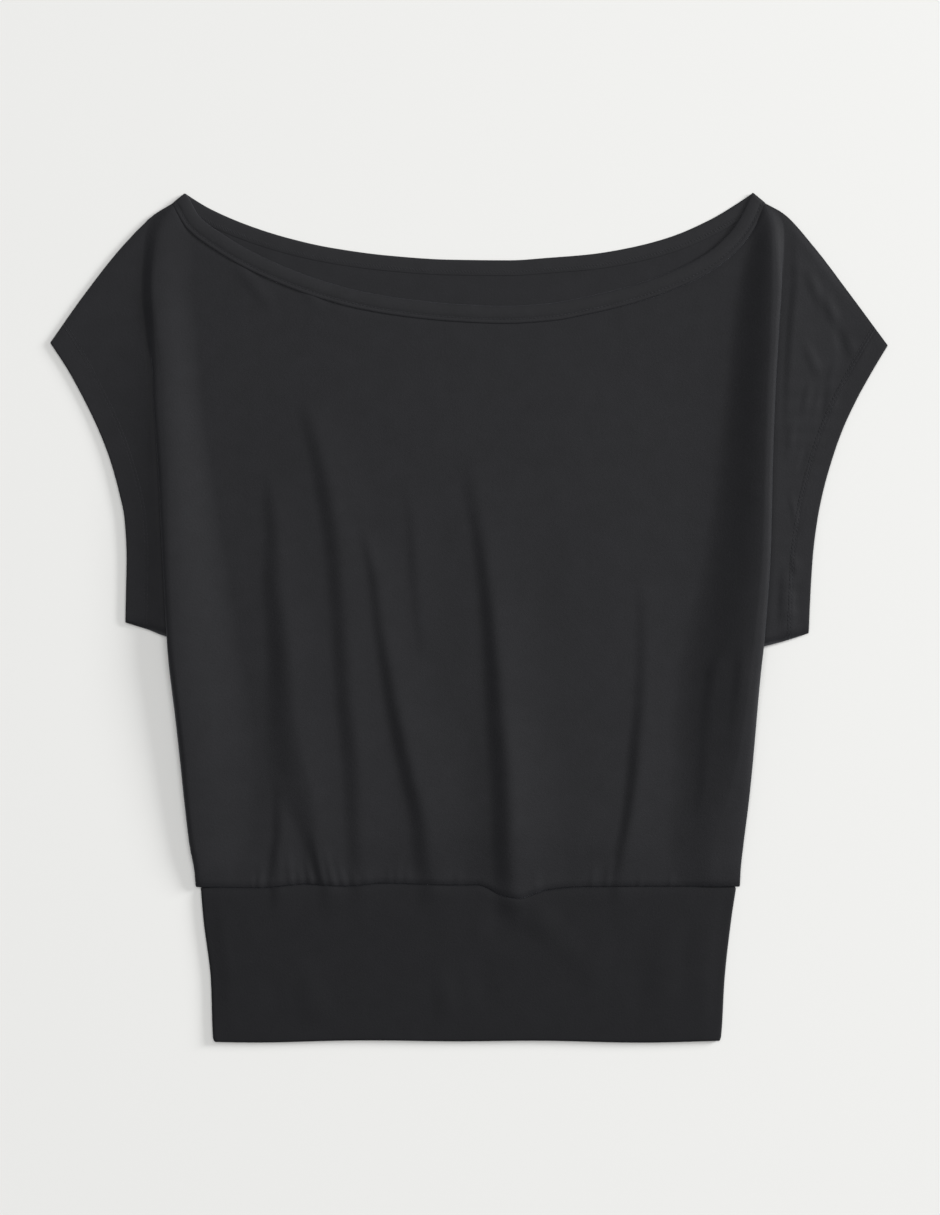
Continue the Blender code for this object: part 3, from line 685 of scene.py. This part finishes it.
def sleeve_plan(side, rows, inner):
    """A sleeve seen from above, as points from an inner line out to its opening, and how far in
    from the opening each is."""
    hem, inset = hem_patch(side, rows)
    s = np.linspace(0, 1, SLEEVE_COLUMNS + 1)
    top_x = inner[0, 0] + (hem[0, 0, 0] - inner[0, 0]) * s
    low_x = inner[-1, 0] + (hem[-1, 0, 0] - inner[-1, 0]) * s
    top = np.stack([top_x, shoulder_line(top_x)], axis=1)
    low = np.stack([low_x, armpit_line(low_x)], axis=1)
    plain = patch(top, low, inner, hem[:, 0], s, rows)[:, :-1]
    inset = np.concatenate([np.full(plain.shape[:2], HEM_REACH), inset], axis=1)
    return np.concatenate([plain, hem], axis=1), inset


def sleeve_surface(side, x, y, inset):
    """The middle of a front sleeve's wall over the ground, a distance inset from the opening."""
    out = INWARD[side] * (side_edge(side, y) - x)
    clear = ease((out - SLEEVE_START) / SLEEVE_CLEAR)
    small = folded_up(x, y, SLEEVE_FOLDS) + creased(x, y, SLEEVE_CREASES) + pucker(side, y, inset)
    return sleeve_height(side, out, y) + small * clear + hem_relief(side, inset) / 2


def pressed(grid, middle, edges=(SHOULDER, UNDERARM), reach=SEAM_DITCH):
    """A grid with its height drawn to a seam's own along the shoulders and the underarms."""
    x, y, z = grid[..., 0], grid[..., 1], grid[..., 2]
    near = np.full(x.shape, np.inf)
    for side in SIDES:
        for edge in edges:
            seam = along_at(edge[side], np.linspace(0, 1, LINE_POINTS))
            near = np.minimum(near, distance_to(x, y, seam))
    out = grid.copy()
    out[..., 2] = middle + (z - middle) * (SEAM_KEEP + (1 - SEAM_KEEP) * ease(near / reach))
    return out


def rim(distance, half, reach=EDGE_ROUND):
    """Half of a wall that is rounded off at its edge."""
    square = 1 - (1 - np.clip(distance / reach, 0, 1)) ** 2
    return half * np.sqrt(np.clip(square, EDGE_LEAST, 1))


def front_body():
    """The front's body, from the left inner bend over the body to the right one."""
    rows = body_rows()
    ts = finer(FOLD_KNOTS[:INNER_BEND + 1])
    left, right = roll_points("left", rows, ts), roll_points("right", rows, ts)
    across = crowded(np.linspace(0, 1, BODY_COLUMNS + 1)[1:-1])
    x = left[:, :1, 0] + (right[:, :1, 0] - left[:, :1, 0]) * across
    y = row_height(x, rows[:, None], top_line)
    middle = np.stack([x, y, body_height(x, y)], axis=2)
    grid = np.concatenate([left[:, ::-1], middle, right], axis=1)
    x, y = grid[..., 0], grid[..., 1]
    # The neck edge goes down under its binding, and the low edge into the waist seam
    from_neck = np.where(np.abs(x) < NECK["x"][-1], np.maximum(top_line(x) - y, 0), 99)
    from_waist = y - waist_line(x)
    grid[..., 2] -= NECK_SINK * ease(1 - from_neck / NECK_DITCH)
    over = np.clip(grid[..., 2] - REST_Z, 0, 1)
    grid[..., 2] -= WAIST_SINK * over * ease(1 - from_waist / SEAM_DITCH)
    half = rim(from_waist, JERSEY_HALF)
    return pressed(grid, SEAM_Z + JERSEY_HALF, (SHOULDER,)), half


def front_sleeve(side):
    """A front sleeve: from under the side fold out to the turned hem at the opening."""
    rows = body_rows()
    rows = rows[rows <= 1]
    start = roll_points(side, rows, finer(FOLD_KNOTS[INNER_BEND:]))
    flat, inset = sleeve_plan(side, rows, start[:, -1, :2])
    flat, inset = flat[:, 1:], inset[:, 1:]
    z = sleeve_surface(side, flat[..., 0], flat[..., 1], inset)
    outer = np.concatenate([flat, z[..., None]], axis=2)
    grid = np.concatenate([start, outer], axis=1)
    half = np.concatenate([np.full(start.shape[:2], JERSEY_HALF), hem_wall(side, inset)], axis=1)
    return pressed(grid, SEAM_Z + JERSEY_HALF), half


def back_top(x):
    """The top edge of the back: under its neck binding, then the shoulder seams."""
    sewn = offset_line(along_at(BACK_NECK, np.linspace(0, 1, LINE_POINTS)), -BACK_BINDING_WIDTH)
    return np.where(np.abs(x) < NECK["x"][-1],
                    np.interp(x, sewn[:, 0], sewn[:, 1]), shoulder_line(x))


def back_side(side, y):
    """Where the back's body ends: along the sleeve above the armpit, at the side seam below."""
    crest, under = fold_value(side, "crest", y), fold_value(side, "under", y) - 1
    down = ease((UNDERARM[side]["y"][-1] + BACK_SIDE_BLEND - y) / BACK_SIDE_BLEND)
    return side_edge(side, y) + INWARD[side] * (crest + (under - crest) * down)


def back_side_points(side, rows):
    """Points where the back's body ends, one for each row."""
    x = np.full(len(rows), INWARD[side] * NECK["x"][0])
    for _ in range(BACK_SETTLE):
        y = row_height(x, rows, back_top, level_waist)
        x = back_side(side, y)
    return np.stack([x, y], axis=1)


def back_height(x, y):
    """The middle of the back's wall: flat on the ground but for a few small creases."""
    return BACK_Z + creased(x, y, BACK_CREASES)


def back_body():
    """The back's body, between its two side lines."""
    rows = body_rows()
    left, right = back_side_points("left", rows), back_side_points("right", rows)
    across = crowded(np.linspace(0, 1, BACK_COLUMNS + 1))
    x = left[:, :1] + (right[:, :1] - left[:, :1]) * across
    y = row_height(x, rows[:, None], back_top, level_waist)
    y[:, 0], y[:, -1] = left[:, 1], right[:, 1]
    grid = np.stack([x, y, back_height(x, y)], axis=2)
    return pressed(grid, SEAM_Z - JERSEY_HALF), rim(y - WAIST_Y, JERSEY_HALF)


def back_sleeve(side):
    """A back sleeve, from the back's side line out to the turned hem at the opening."""
    rows = body_rows()
    rows = rows[rows <= 1]
    flat, inset = sleeve_plan(side, rows, back_side_points(side, rows))
    z = back_height(flat[..., 0], flat[..., 1]) + np.maximum(hem_relief(side, inset), 0) / 2
    grid = np.concatenate([flat, z[..., None]], axis=2)
    return pressed(grid, SEAM_Z - JERSEY_HALF), hem_wall(side, inset)


def band_side(side, y):
    """The waistband's side edge, as an x."""
    return through(y, BAND_SIDE[side]["y"], BAND_SIDE[side]["x"])


def band_tube():
    """The waistband: a tube pressed flat, from the waist seam down to its folded hem. Columns
    run over the front, round the right side, back along the ground, and round the left."""
    deep = WAIST_Y - HEM_Y
    down = np.concatenate([BAND_EDGE_STEPS / deep, np.linspace(*BAND_ROW_ENDS, BAND_ROWS),
                           1 - BAND_EDGE_STEPS[::-1] / deep])[:, None]
    top = WAIST_Y - BAND_EDGE_GAP
    y = top + (HEM_Y - top) * down
    start, end = band_side("left", y) + BAND_TURN, band_side("right", y) - BAND_TURN
    across = np.linspace(0, 1, BAND_COLUMNS + 1)
    x = start + (end - start) * across
    dip = (waist_line(x) - WAIST_Y) * (1 - down) ** BAND_DIP_FADE
    hollow = (BAND_HOLLOW * bell(x - BAND_HOLLOW_X, BAND_HOLLOW_HALF_WIDTH)
              * bell(down - BAND_HOLLOW_DOWN, BAND_HOLLOW_HALF_DOWN))
    inside = np.minimum(x - start, end - x)
    loft = BAND_LOFT * np.sin(np.pi * down) ** BAND_FULLNESS * (1 - hollow)
    loft = loft * ease(inside / BAND_SIDE_FADE)
    small = (creased(x, y, BAND_CREASES) * ease(down / BAND_CREASE_FADE)
             * ease((1 - down) / BAND_CREASE_FADE))
    sink = BAND_SINK * ease(1 - down * deep / BAND_DITCH)
    # The band's top edge is sewn to the long folds, so it rises with them
    rise = folded_up(x, waist_line(x), FOLDS)
    rise = rise * (1 - np.clip(down * deep / BAND_RISE_REACH, 0, 1)) ** 2
    wave = HEM_WAVE * np.sin(x / HEM_WAVE_RUNS[0] + HEM_WAVE_START) * np.sin(x / HEM_WAVE_RUNS[1])
    wave = wave * ease((down - (1 - HEM_WAVE_SHARE)) / HEM_WAVE_SHARE)
    front = np.stack([x, y + dip + wave, BAND_FRONT_Z + loft + small + rise - sink], axis=2)
    closed = y + BAND_EDGE_GAP * (1 - down)
    back = np.stack([x, closed + HEM_WAVE_UNDER * wave, BAND_BACK_Z + 0 * x], axis=2)[:, ::-1]
    angles = np.linspace(0, np.pi, BAND_TURN_STEPS)[1:-1]
    share = (0.5 - 0.5 * np.cos(angles))[None, :, None]
    turns = []
    for first, last, way in ((front[:, -1], back[:, 0], 1), (back[:, -1], front[:, 0], -1)):
        turn = first[:, None] * (1 - share) + last[:, None] * share
        turn[..., 0] += way * np.sin(angles) * BAND_TURN_OUT
        turns.append(turn)
    grid = np.concatenate([front, turns[0], back, turns[1], front[:, :1]], axis=1)
    edge = np.minimum(down, 1 - down) * deep
    return grid, np.broadcast_to(rim(edge, BAND_HALF, BAND_EDGE_ROUND), grid.shape[:2])


def offset_line(points, distance):
    """A neck line moved sideways by a distance, to the left as seen along it. Its ends move
    along the shoulder seams."""
    heading = np.gradient(points, axis=0)
    across = np.stack([-heading[:, 1], heading[:, 0]], axis=1)
    across /= np.linalg.norm(across, axis=1)[:, None]
    reach = reach_along(points)
    for end, from_end in ((0, reach), (-1, reach[-1] - reach)):
        seam = SHOULDER_SLOPE * [-np.sign(points[end, 0]), 1]
        seam = seam * np.sign(seam @ across[end])
        share = ease(1 - from_end / TIP_BLEND)[:, None]
        across = across * (1 - share) + seam * share
    across /= np.linalg.norm(across, axis=1)[:, None]
    return points + distance * across


def even_line(points, step):
    """The same line with evenly spaced points."""
    reach = reach_along(points)
    s = np.linspace(0, reach[-1], int(reach[-1] / step) + 1)
    return np.stack([np.interp(s, reach, points[:, k]) for k in range(2)], axis=1)


def binding_rings(edge, section, tip_drop):
    """Rings of points round a binding's section, one at each point of its edge line."""
    reach = reach_along(edge)
    to_end = np.minimum(reach, reach[-1] - reach)
    drop = tip_drop * ease(1 - to_end / TIP_BLEND)
    return np.stack([np.column_stack([offset_line(edge, s), z - drop]) for s, z in section],
                    axis=1)


def mesh_piece(name, points, faces, finish):
    """A piece from points in millimetres and its faces."""
    mesh = bpy.data.meshes.new(name)
    mesh.from_pydata((np.asarray(points) * MM).tolist(), [], [list(face) for face in faces])
    mesh.validate()
    mesh.shade_smooth()
    mesh.materials.append(finish)
    piece = bpy.data.objects.new(name, mesh)
    bpy.context.scene.collection.objects.link(piece)
    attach(piece, "root")
    return piece


def grid_faces(rows, columns, flip=False):
    """Four-sided faces between the points of a grid."""
    first = (np.arange(rows - 1)[:, None] * columns + np.arange(columns - 1)).reshape(-1)
    faces = np.stack([first, first + columns, first + columns + 1, first + 1], axis=1)
    return faces[:, ::-1] if flip else faces


def cloth(name, parts, finish):
    """A cloth wall on grids of points, joined where their edges meet. Each part is a grid, half
    of the wall's thickness at its points, and whether its columns run outward to the left."""
    points = np.concatenate([grid.reshape(-1, 3) for grid, _, _ in parts])
    half = np.concatenate([np.broadcast_to(h, grid.shape[:2]).reshape(-1) for grid, h, _ in parts])
    faces, start = [], 0
    for grid, _, flip in parts:
        faces.append(grid_faces(*grid.shape[:2], flip) + start)
        start += grid.shape[0] * grid.shape[1]
    _, first, index = np.unique(np.round(points, 3), axis=0, return_index=True,
                                return_inverse=True)
    index = index.reshape(-1)
    faces = index[np.concatenate(faces)]
    whole = [[v for k, v in enumerate(face) if v != face[k - 1]] for face in faces.tolist()]
    piece = mesh_piece(name, points[first], [face for face in whole if len(face) > 2], finish)
    group = piece.vertex_groups.new(name="wall")
    weights = np.round(half[first] / half.max(), 3)
    for weight in np.unique(weights):
        group.add(np.flatnonzero(weights == weight).tolist(), float(weight), "REPLACE")
    wall = piece.modifiers.new("Wall", "SOLIDIFY")
    wall.thickness = 2 * half.max() * MM
    wall.offset = 0.0
    wall.vertex_group = "wall"
    return piece


def binding(name, rings, finish):
    """A folded binding from rings of points, closed at both ends."""
    count, around = rings.shape[:2]
    faces = []
    for k in range(count - 1):
        for j in range(around):
            n = (j + 1) % around
            faces.append((k * around + j, k * around + n,
                          (k + 1) * around + n, (k + 1) * around + j))
    faces.append(tuple(range(around))[::-1])
    faces.append(tuple((count - 1) * around + np.arange(around)))
    return mesh_piece(name, rings.reshape(-1, 3), faces, finish)


def stitches(name, starts, ends, width, height, finish):
    """Many small stitches as one mesh: each a thread from start to end that dips in at both."""
    share = np.array([0, 0.16, 0.5, 0.84, 1])
    lift = np.array([0, 0.75, 1, 0.75, 0])
    sides = 6
    turn = np.arange(sides) * 2 * np.pi / sides
    run = ends - starts
    length = np.linalg.norm(run[:, :2], axis=1)[:, None]
    across = np.column_stack([-run[:, 1], run[:, 0], np.zeros(len(run))]) / length
    middle = starts[:, None] + run[:, None] * share[None, :, None]
    thin = np.array([0.35, 0.9, 1, 0.9, 0.35])[None, :, None, None]
    ring = (np.cos(turn)[None, None, :, None] * across[:, None, None] * width / 2
            + np.sin(turn)[None, None, :, None] * np.array([0, 0, height / 2])) * thin
    points = middle[:, :, None] + ring
    points[..., 2] += (lift * height * 0.5)[None, :, None]
    one = []
    for k in range(len(share) - 1):
        for j in range(sides):
            n = (j + 1) % sides
            one.append((k * sides + j, (k + 1) * sides + j, (k + 1) * sides + n, k * sides + n))
    first = np.arange(len(starts))[:, None, None] * len(share) * sides
    faces = (first + np.array(one)[None]).reshape(-1, 4)
    return mesh_piece(name, points.reshape(-1, 3), faces.tolist(), finish)


def stitch_ends(line, length, gap):
    """The starts and ends of stitches along a line of points with their heights."""
    reach = reach_along(line[:, :2])
    s = np.arange(gap, reach[-1] - length, length + gap)
    return tuple(np.stack([np.interp(at, reach, line[:, k]) for k in range(3)], axis=1)
                 for at in (s, s + length))


# Shader maths

class Wire:
    """A shader socket. Sums written on it add the nodes that work them out."""

    def __init__(self, finish, socket):
        self.finish, self.socket = finish, socket

    def maths(self, operation, *others):
        """One maths step on this socket and others, or numbers."""
        return self.finish.node("ShaderNodeMath", {"operation": operation},
                                dict(enumerate((self, *others))))

    def __add__(self, other):
        return self.maths("ADD", other)

    def __mul__(self, other):
        return self.maths("MULTIPLY", other)

    def __sub__(self, other):
        return self.maths("SUBTRACT", other)

    def __rsub__(self, other):
        return self.maths("MULTIPLY", -1.0).maths("ADD", other)

    __radd__ = __add__
    __rmul__ = __mul__

    def wave(self):
        return self.maths("SINE")

    def size(self):
        return self.maths("ABSOLUTE")


class Finish:
    """A material under way: its nodes, and the shader that they feed."""

    def __init__(self, name):
        self.material = bpy.data.materials.new(name)
        self.material.use_nodes = True
        self.nodes = self.material.node_tree.nodes
        self.links = self.material.node_tree.links
        self.shader = self.nodes["Principled BSDF"]

    def node(self, kind, settings=(), sockets=(), output=0):
        """A node with its settings, then the values or links of its sockets."""
        node = self.nodes.new(kind)
        for name, value in dict(settings).items():
            if name == "stops":
                for stop, (place, colour) in zip(node.color_ramp.elements, value):
                    stop.position, stop.color = place, colour
            else:
                setattr(node, name, value)
        for name, value in dict(sockets).items():
            self.feed(node.inputs[name], value)
        return Wire(self, node.outputs[output])

    def feed(self, socket, value):
        """A socket linked to a wire, or set to a value."""
        if isinstance(value, Wire):
            self.links.new(value.socket, socket)
        else:
            socket.default_value = value

    def set(self, **values):
        """Fixed values of the shader's sockets, by their names with low lines for spaces."""
        for name, value in values.items():
            self.shader.inputs[name.replace("_", " ")].default_value = value

    def blend(self, share, first, second):
        """A colour between two others."""
        return self.node("ShaderNodeMix", {"data_type": "RGBA"},
                         {0: share, 6: first, 7: second}, output=2)


def jersey(name, dark, light, roughness, sheen):
    """Fine cotton jersey: columns of tiny knitted loops, a soft nap and faint mottling."""
    finish = Finish(name)
    place = finish.node("ShaderNodeTexCoord", output=3)
    split = finish.node("ShaderNodeSeparateXYZ", (), {0: place})
    x, y = Wire(finish, split.socket.node.outputs[0]), Wire(finish, split.socket.node.outputs[1])
    broad = finish.node("ShaderNodeTexNoise", (), {"Vector": place, "Scale": 75.0, "Detail": 3.0})
    fine = finish.node("ShaderNodeTexNoise", (), {"Vector": place, "Scale": 620.0, "Detail": 2.0})
    nap = finish.node("ShaderNodeTexNoise", (), {"Vector": place, "Scale": 1900.0, "Detail": 1.0})
    mottle = broad * 0.3 + fine * 0.45 + nap * 0.25
    finish.feed(finish.shader.inputs["Base Color"],
                finish.blend((mottle - 0.36) * 3.6, (*dark, 1.0), (*light, 1.0)))
    finish.feed(finish.shader.inputs["Roughness"], roughness + (fine - 0.5) * 0.12)
    wale = (x * (math.pi / WALE)).wave().size()
    course = (y * (math.pi / COURSE) + wale * 1.3).wave().size()
    loops = wale * 0.55 + course * 0.45 + (nap - 0.5) * 0.8
    bump = finish.node("ShaderNodeBump", (), {
        "Strength": 0.35, "Distance": 0.00016, "Height": loops})
    soft = finish.node("ShaderNodeBump", (), {
        "Strength": 0.3, "Distance": 0.0004, "Height": fine, "Normal": bump})
    finish.feed(finish.shader.inputs["Normal"], soft)
    finish.set(Sheen_Weight=sheen, Sheen_Roughness=SHEEN_ROUGHNESS, Sheen_Tint=SHEEN_TINT,
               Specular_IOR_Level=SPECULAR)
    return finish.material


def thread(name, colour):
    """Matt spun thread, with its twist."""
    finish = Finish(name)
    place = finish.node("ShaderNodeTexCoord", output=3)
    ply = finish.node("ShaderNodeTexNoise", (), {"Vector": place, "Scale": 2400.0, "Detail": 2.0})
    pale = tuple(PALE_PLY * c for c in colour)
    finish.feed(finish.shader.inputs["Base Color"],
                finish.blend(ply, (*colour, 1.0), (*pale, 1.0)))
    finish.feed(finish.shader.inputs["Roughness"], 0.62 + ply * 0.2)
    twist = finish.node("ShaderNodeBump", (), {"Strength": 0.4, "Distance": 0.0001, "Height": ply})
    finish.feed(finish.shader.inputs["Normal"], twist)
    finish.set(Sheen_Weight=0.1, Sheen_Roughness=SHEEN_ROUGHNESS, Sheen_Tint=SHEEN_TINT,
               Specular_IOR_Level=SPECULAR)
    return finish.material


def ground():
    """A plain pale floor with hardly any texture."""
    finish = Finish("floor")
    place = finish.node("ShaderNodeTexCoord", output=3)
    grain = finish.node("ShaderNodeTexNoise", (), {"Vector": place, "Scale": 3.0, "Detail": 2.0})
    finish.feed(finish.shader.inputs["Base Color"],
                finish.blend(grain, (*FLOOR, 1.0), (*(0.995 * c for c in FLOOR), 1.0)))
    finish.feed(finish.shader.inputs["Roughness"], 0.75 + grain * 0.05)
    finish.set(Specular_IOR_Level=0.2)
    mesh = bpy.data.meshes.new("floor")
    corners = [(x * FLOOR_HALF, y * FLOOR_HALF, 0) for x, y in ((-1, -1), (1, -1), (1, 1), (-1, 1))]
    mesh.from_pydata(corners, [], [(0, 1, 2, 3)])
    mesh.materials.append(finish.material)
    floor = bpy.data.objects.new("floor", mesh)
    bpy.context.scene.collection.objects.link(floor)


def camera():
    """Straight above the garment's middle, its long side up."""
    data = bpy.data.cameras.new("camera")
    data.sensor_width = SENSOR
    data.lens = SENSOR * CAMERA_HEIGHT / (FRAME_HEIGHT * PIXEL)
    data.clip_start, data.clip_end = 0.05, 60.0
    eye = bpy.data.objects.new("camera", data)
    eye.location = ((FRAME_WIDTH / 2 - MIDDLE_PIXEL[0]) * PIXEL * MM,
                    (MIDDLE_PIXEL[1] - FRAME_HEIGHT / 2) * PIXEL * MM, CAMERA_HEIGHT * MM)
    bpy.context.scene.collection.objects.link(eye)
    bpy.context.scene.camera = eye


def lights():
    """A broad soft lamp low on the right, soft light from above, and an even pale surround."""
    turn, rise = math.radians(KEY_TURN), math.radians(KEY_RISE)
    towards = Vector((math.cos(rise) * math.cos(turn), math.cos(rise) * math.sin(turn),
                      math.sin(rise)))
    key = bpy.data.lights.new("key", "AREA")
    key.shape, key.size, key.energy = "DISK", KEY_SIZE, KEY_POWER
    top = bpy.data.lights.new("top", "SUN")
    top.energy, top.angle = TOP_STRENGTH, math.radians(TOP_SPREAD)
    for data, place in ((key, towards * KEY_DISTANCE), (top, Vector(TOP_PLACE))):
        lamp = bpy.data.objects.new(data.name, data)
        lamp.location = place
        lamp.rotation_euler = place.to_track_quat("Z", "Y").to_euler()
        bpy.context.scene.collection.objects.link(lamp)
    world = bpy.data.worlds.new("surround")
    world.use_nodes = True
    world.node_tree.nodes["Background"].inputs[0].default_value = (*SURROUND, 1.0)
    world.node_tree.nodes["Background"].inputs[1].default_value = SURROUND_STRENGTH
    bpy.context.scene.world = world
    bpy.context.scene.view_settings.view_transform = "Standard"


def with_height(flat, z):
    """A flat line's points, all at one height."""
    return np.column_stack([flat, np.full(len(flat), z)])


def sewn_line(side, layer, flat, inset):
    """A hem's sewn line with its height, just proud of the sleeve's cloth."""
    if layer == "back":
        return with_height(flat, BACK_Z - JERSEY_HALF + BACK_STITCH_PROUD)
    z = sleeve_surface(side, flat[:, 0], flat[:, 1], np.full(len(flat), inset))
    line = np.column_stack([flat, z])[None]
    return pressed(line, SEAM_Z + JERSEY_HALF)[0] + [0, 0, JERSEY_HALF + STITCH_PROUD[side]]


def area_of(*grids):
    """The area of the modelled cloth that grids of points make, in square metres."""
    total = 0.0
    for grid in grids:
        p = grid * MM
        one = np.cross(p[1:, 1:] - p[:-1, :-1], p[1:, :-1] - p[:-1, 1:])
        total += np.linalg.norm(one, axis=2).sum() / 2
    return float(total)


def dress():
    """Every piece of the garment, riding on the body and standing for its solid."""
    plain = jersey("jersey", (0.0034, 0.0035, 0.0050), (0.0072, 0.0073, 0.0094), 0.70, 0.13)
    # The waistband's jersey is a darker copy of the body's: painted shade, darker towards the garment's
    # lower end
    band_jersey_painted_shade = jersey("band jersey", (0.0012, 0.0013, 0.0026), (0.0037, 0.0038, 0.0055), 0.74, 0.07)
    # The bindings' jersey is a lighter copy of the body's: painted light on the raised neck bindings
    folded = jersey("binding jersey", (0.0054, 0.0055, 0.0070), (0.0096, 0.0097, 0.0117),
                    0.70, 0.13)
    sewing = thread("sewing thread", (0.0095, 0.0097, 0.0115))

    body = front_body()
    sleeves = {side: front_sleeve(side) for side in SIDES}
    front = cloth("front", [(*body, False), (*sleeves["left"], True),
                            (*sleeves["right"], False)], plain)
    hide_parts("front_panel")
    rear = back_body()
    rear_sleeves = {side: back_sleeve(side) for side in SIDES}
    back = cloth("back", [(*rear, False), (*rear_sleeves["left"], True),
                          (*rear_sleeves["right"], False)], plain)
    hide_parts("back_panel")
    band = cloth("waistband", [(*band_tube(), False)], band_jersey_painted_shade)
    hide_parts("waistband_front", "waistband_back")

    roll = len(finer(FOLD_KNOTS[:INNER_BEND + 1])) - 1
    edge = even_line(body[0][0, roll:-roll, :2], BINDING_STEP)
    neck = binding("neck_binding", binding_rings(edge, BINDING_SECTION, TIP_DROP), folded)
    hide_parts("neck_binding_front")
    back_edge = even_line(along_at(BACK_NECK, np.linspace(0, 1, NECK_LINE_POINTS))[::-1], BINDING_STEP)
    rings = binding_rings(back_edge, BACK_BINDING_SECTION, BACK_TIP_DROP)
    back_neck = binding("back_neck_binding", rings, folded)
    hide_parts("neck_binding_back")

    groove = with_height(offset_line(edge, GROOVE), GROOVE_Z)
    row = stitches("neck_binding_stitches", *stitch_ends(groove, *NECK_STITCH),
                   *NECK_STITCH_THREAD, sewing)
    low = with_height(offset_line(back_edge, BACK_BINDING_WIDTH - ZIGZAG_LOW), ZIGZAG_LOW_Z)
    high = with_height(offset_line(back_edge, BACK_BINDING_WIDTH - ZIGZAG_HIGH), ZIGZAG_HIGH_Z)
    starts, _ = stitch_ends(low, *ZIGZAG_STITCH)
    ends, _ = stitch_ends(high, *ZIGZAG_STITCH)
    count = min(len(starts), len(ends))
    zigzag = stitches("back_neck_stitches", starts[:count], ends[:count], *ZIGZAG_THREAD, sewing)

    for side in SIDES:
        shares = np.linspace(*HEM_STITCH_ENDS, SEWN_LINE_POINTS)
        outer, inner = hem_lines(side, shares)
        for layer in ("front", "back"):
            lines = [sewn_line(side, layer, outer + (inner - outer) * line / HEM_REACH, line)
                     for line in HEM_STITCHES]
            ends = [stitch_ends(line, *HEM_STITCH) for line in lines]
            both = [np.concatenate(side_ends) for side_ends in zip(*ends)]
            row_piece = stitches(f"{side}_{layer}_hem_stitches", *both, *HEM_STITCH_THREAD, sewing)

    # The front's and back's areas are the modelled cloth's own, not measured from a cut, so the
    # share that is measured against them is near 1 whatever their size
    area_of(body[0], sleeves["left"][0], sleeves["right"][0])
    area_of(rear[0], rear_sleeves["left"][0], rear_sleeves["right"][0])


ground()
camera()
lights()
dress()
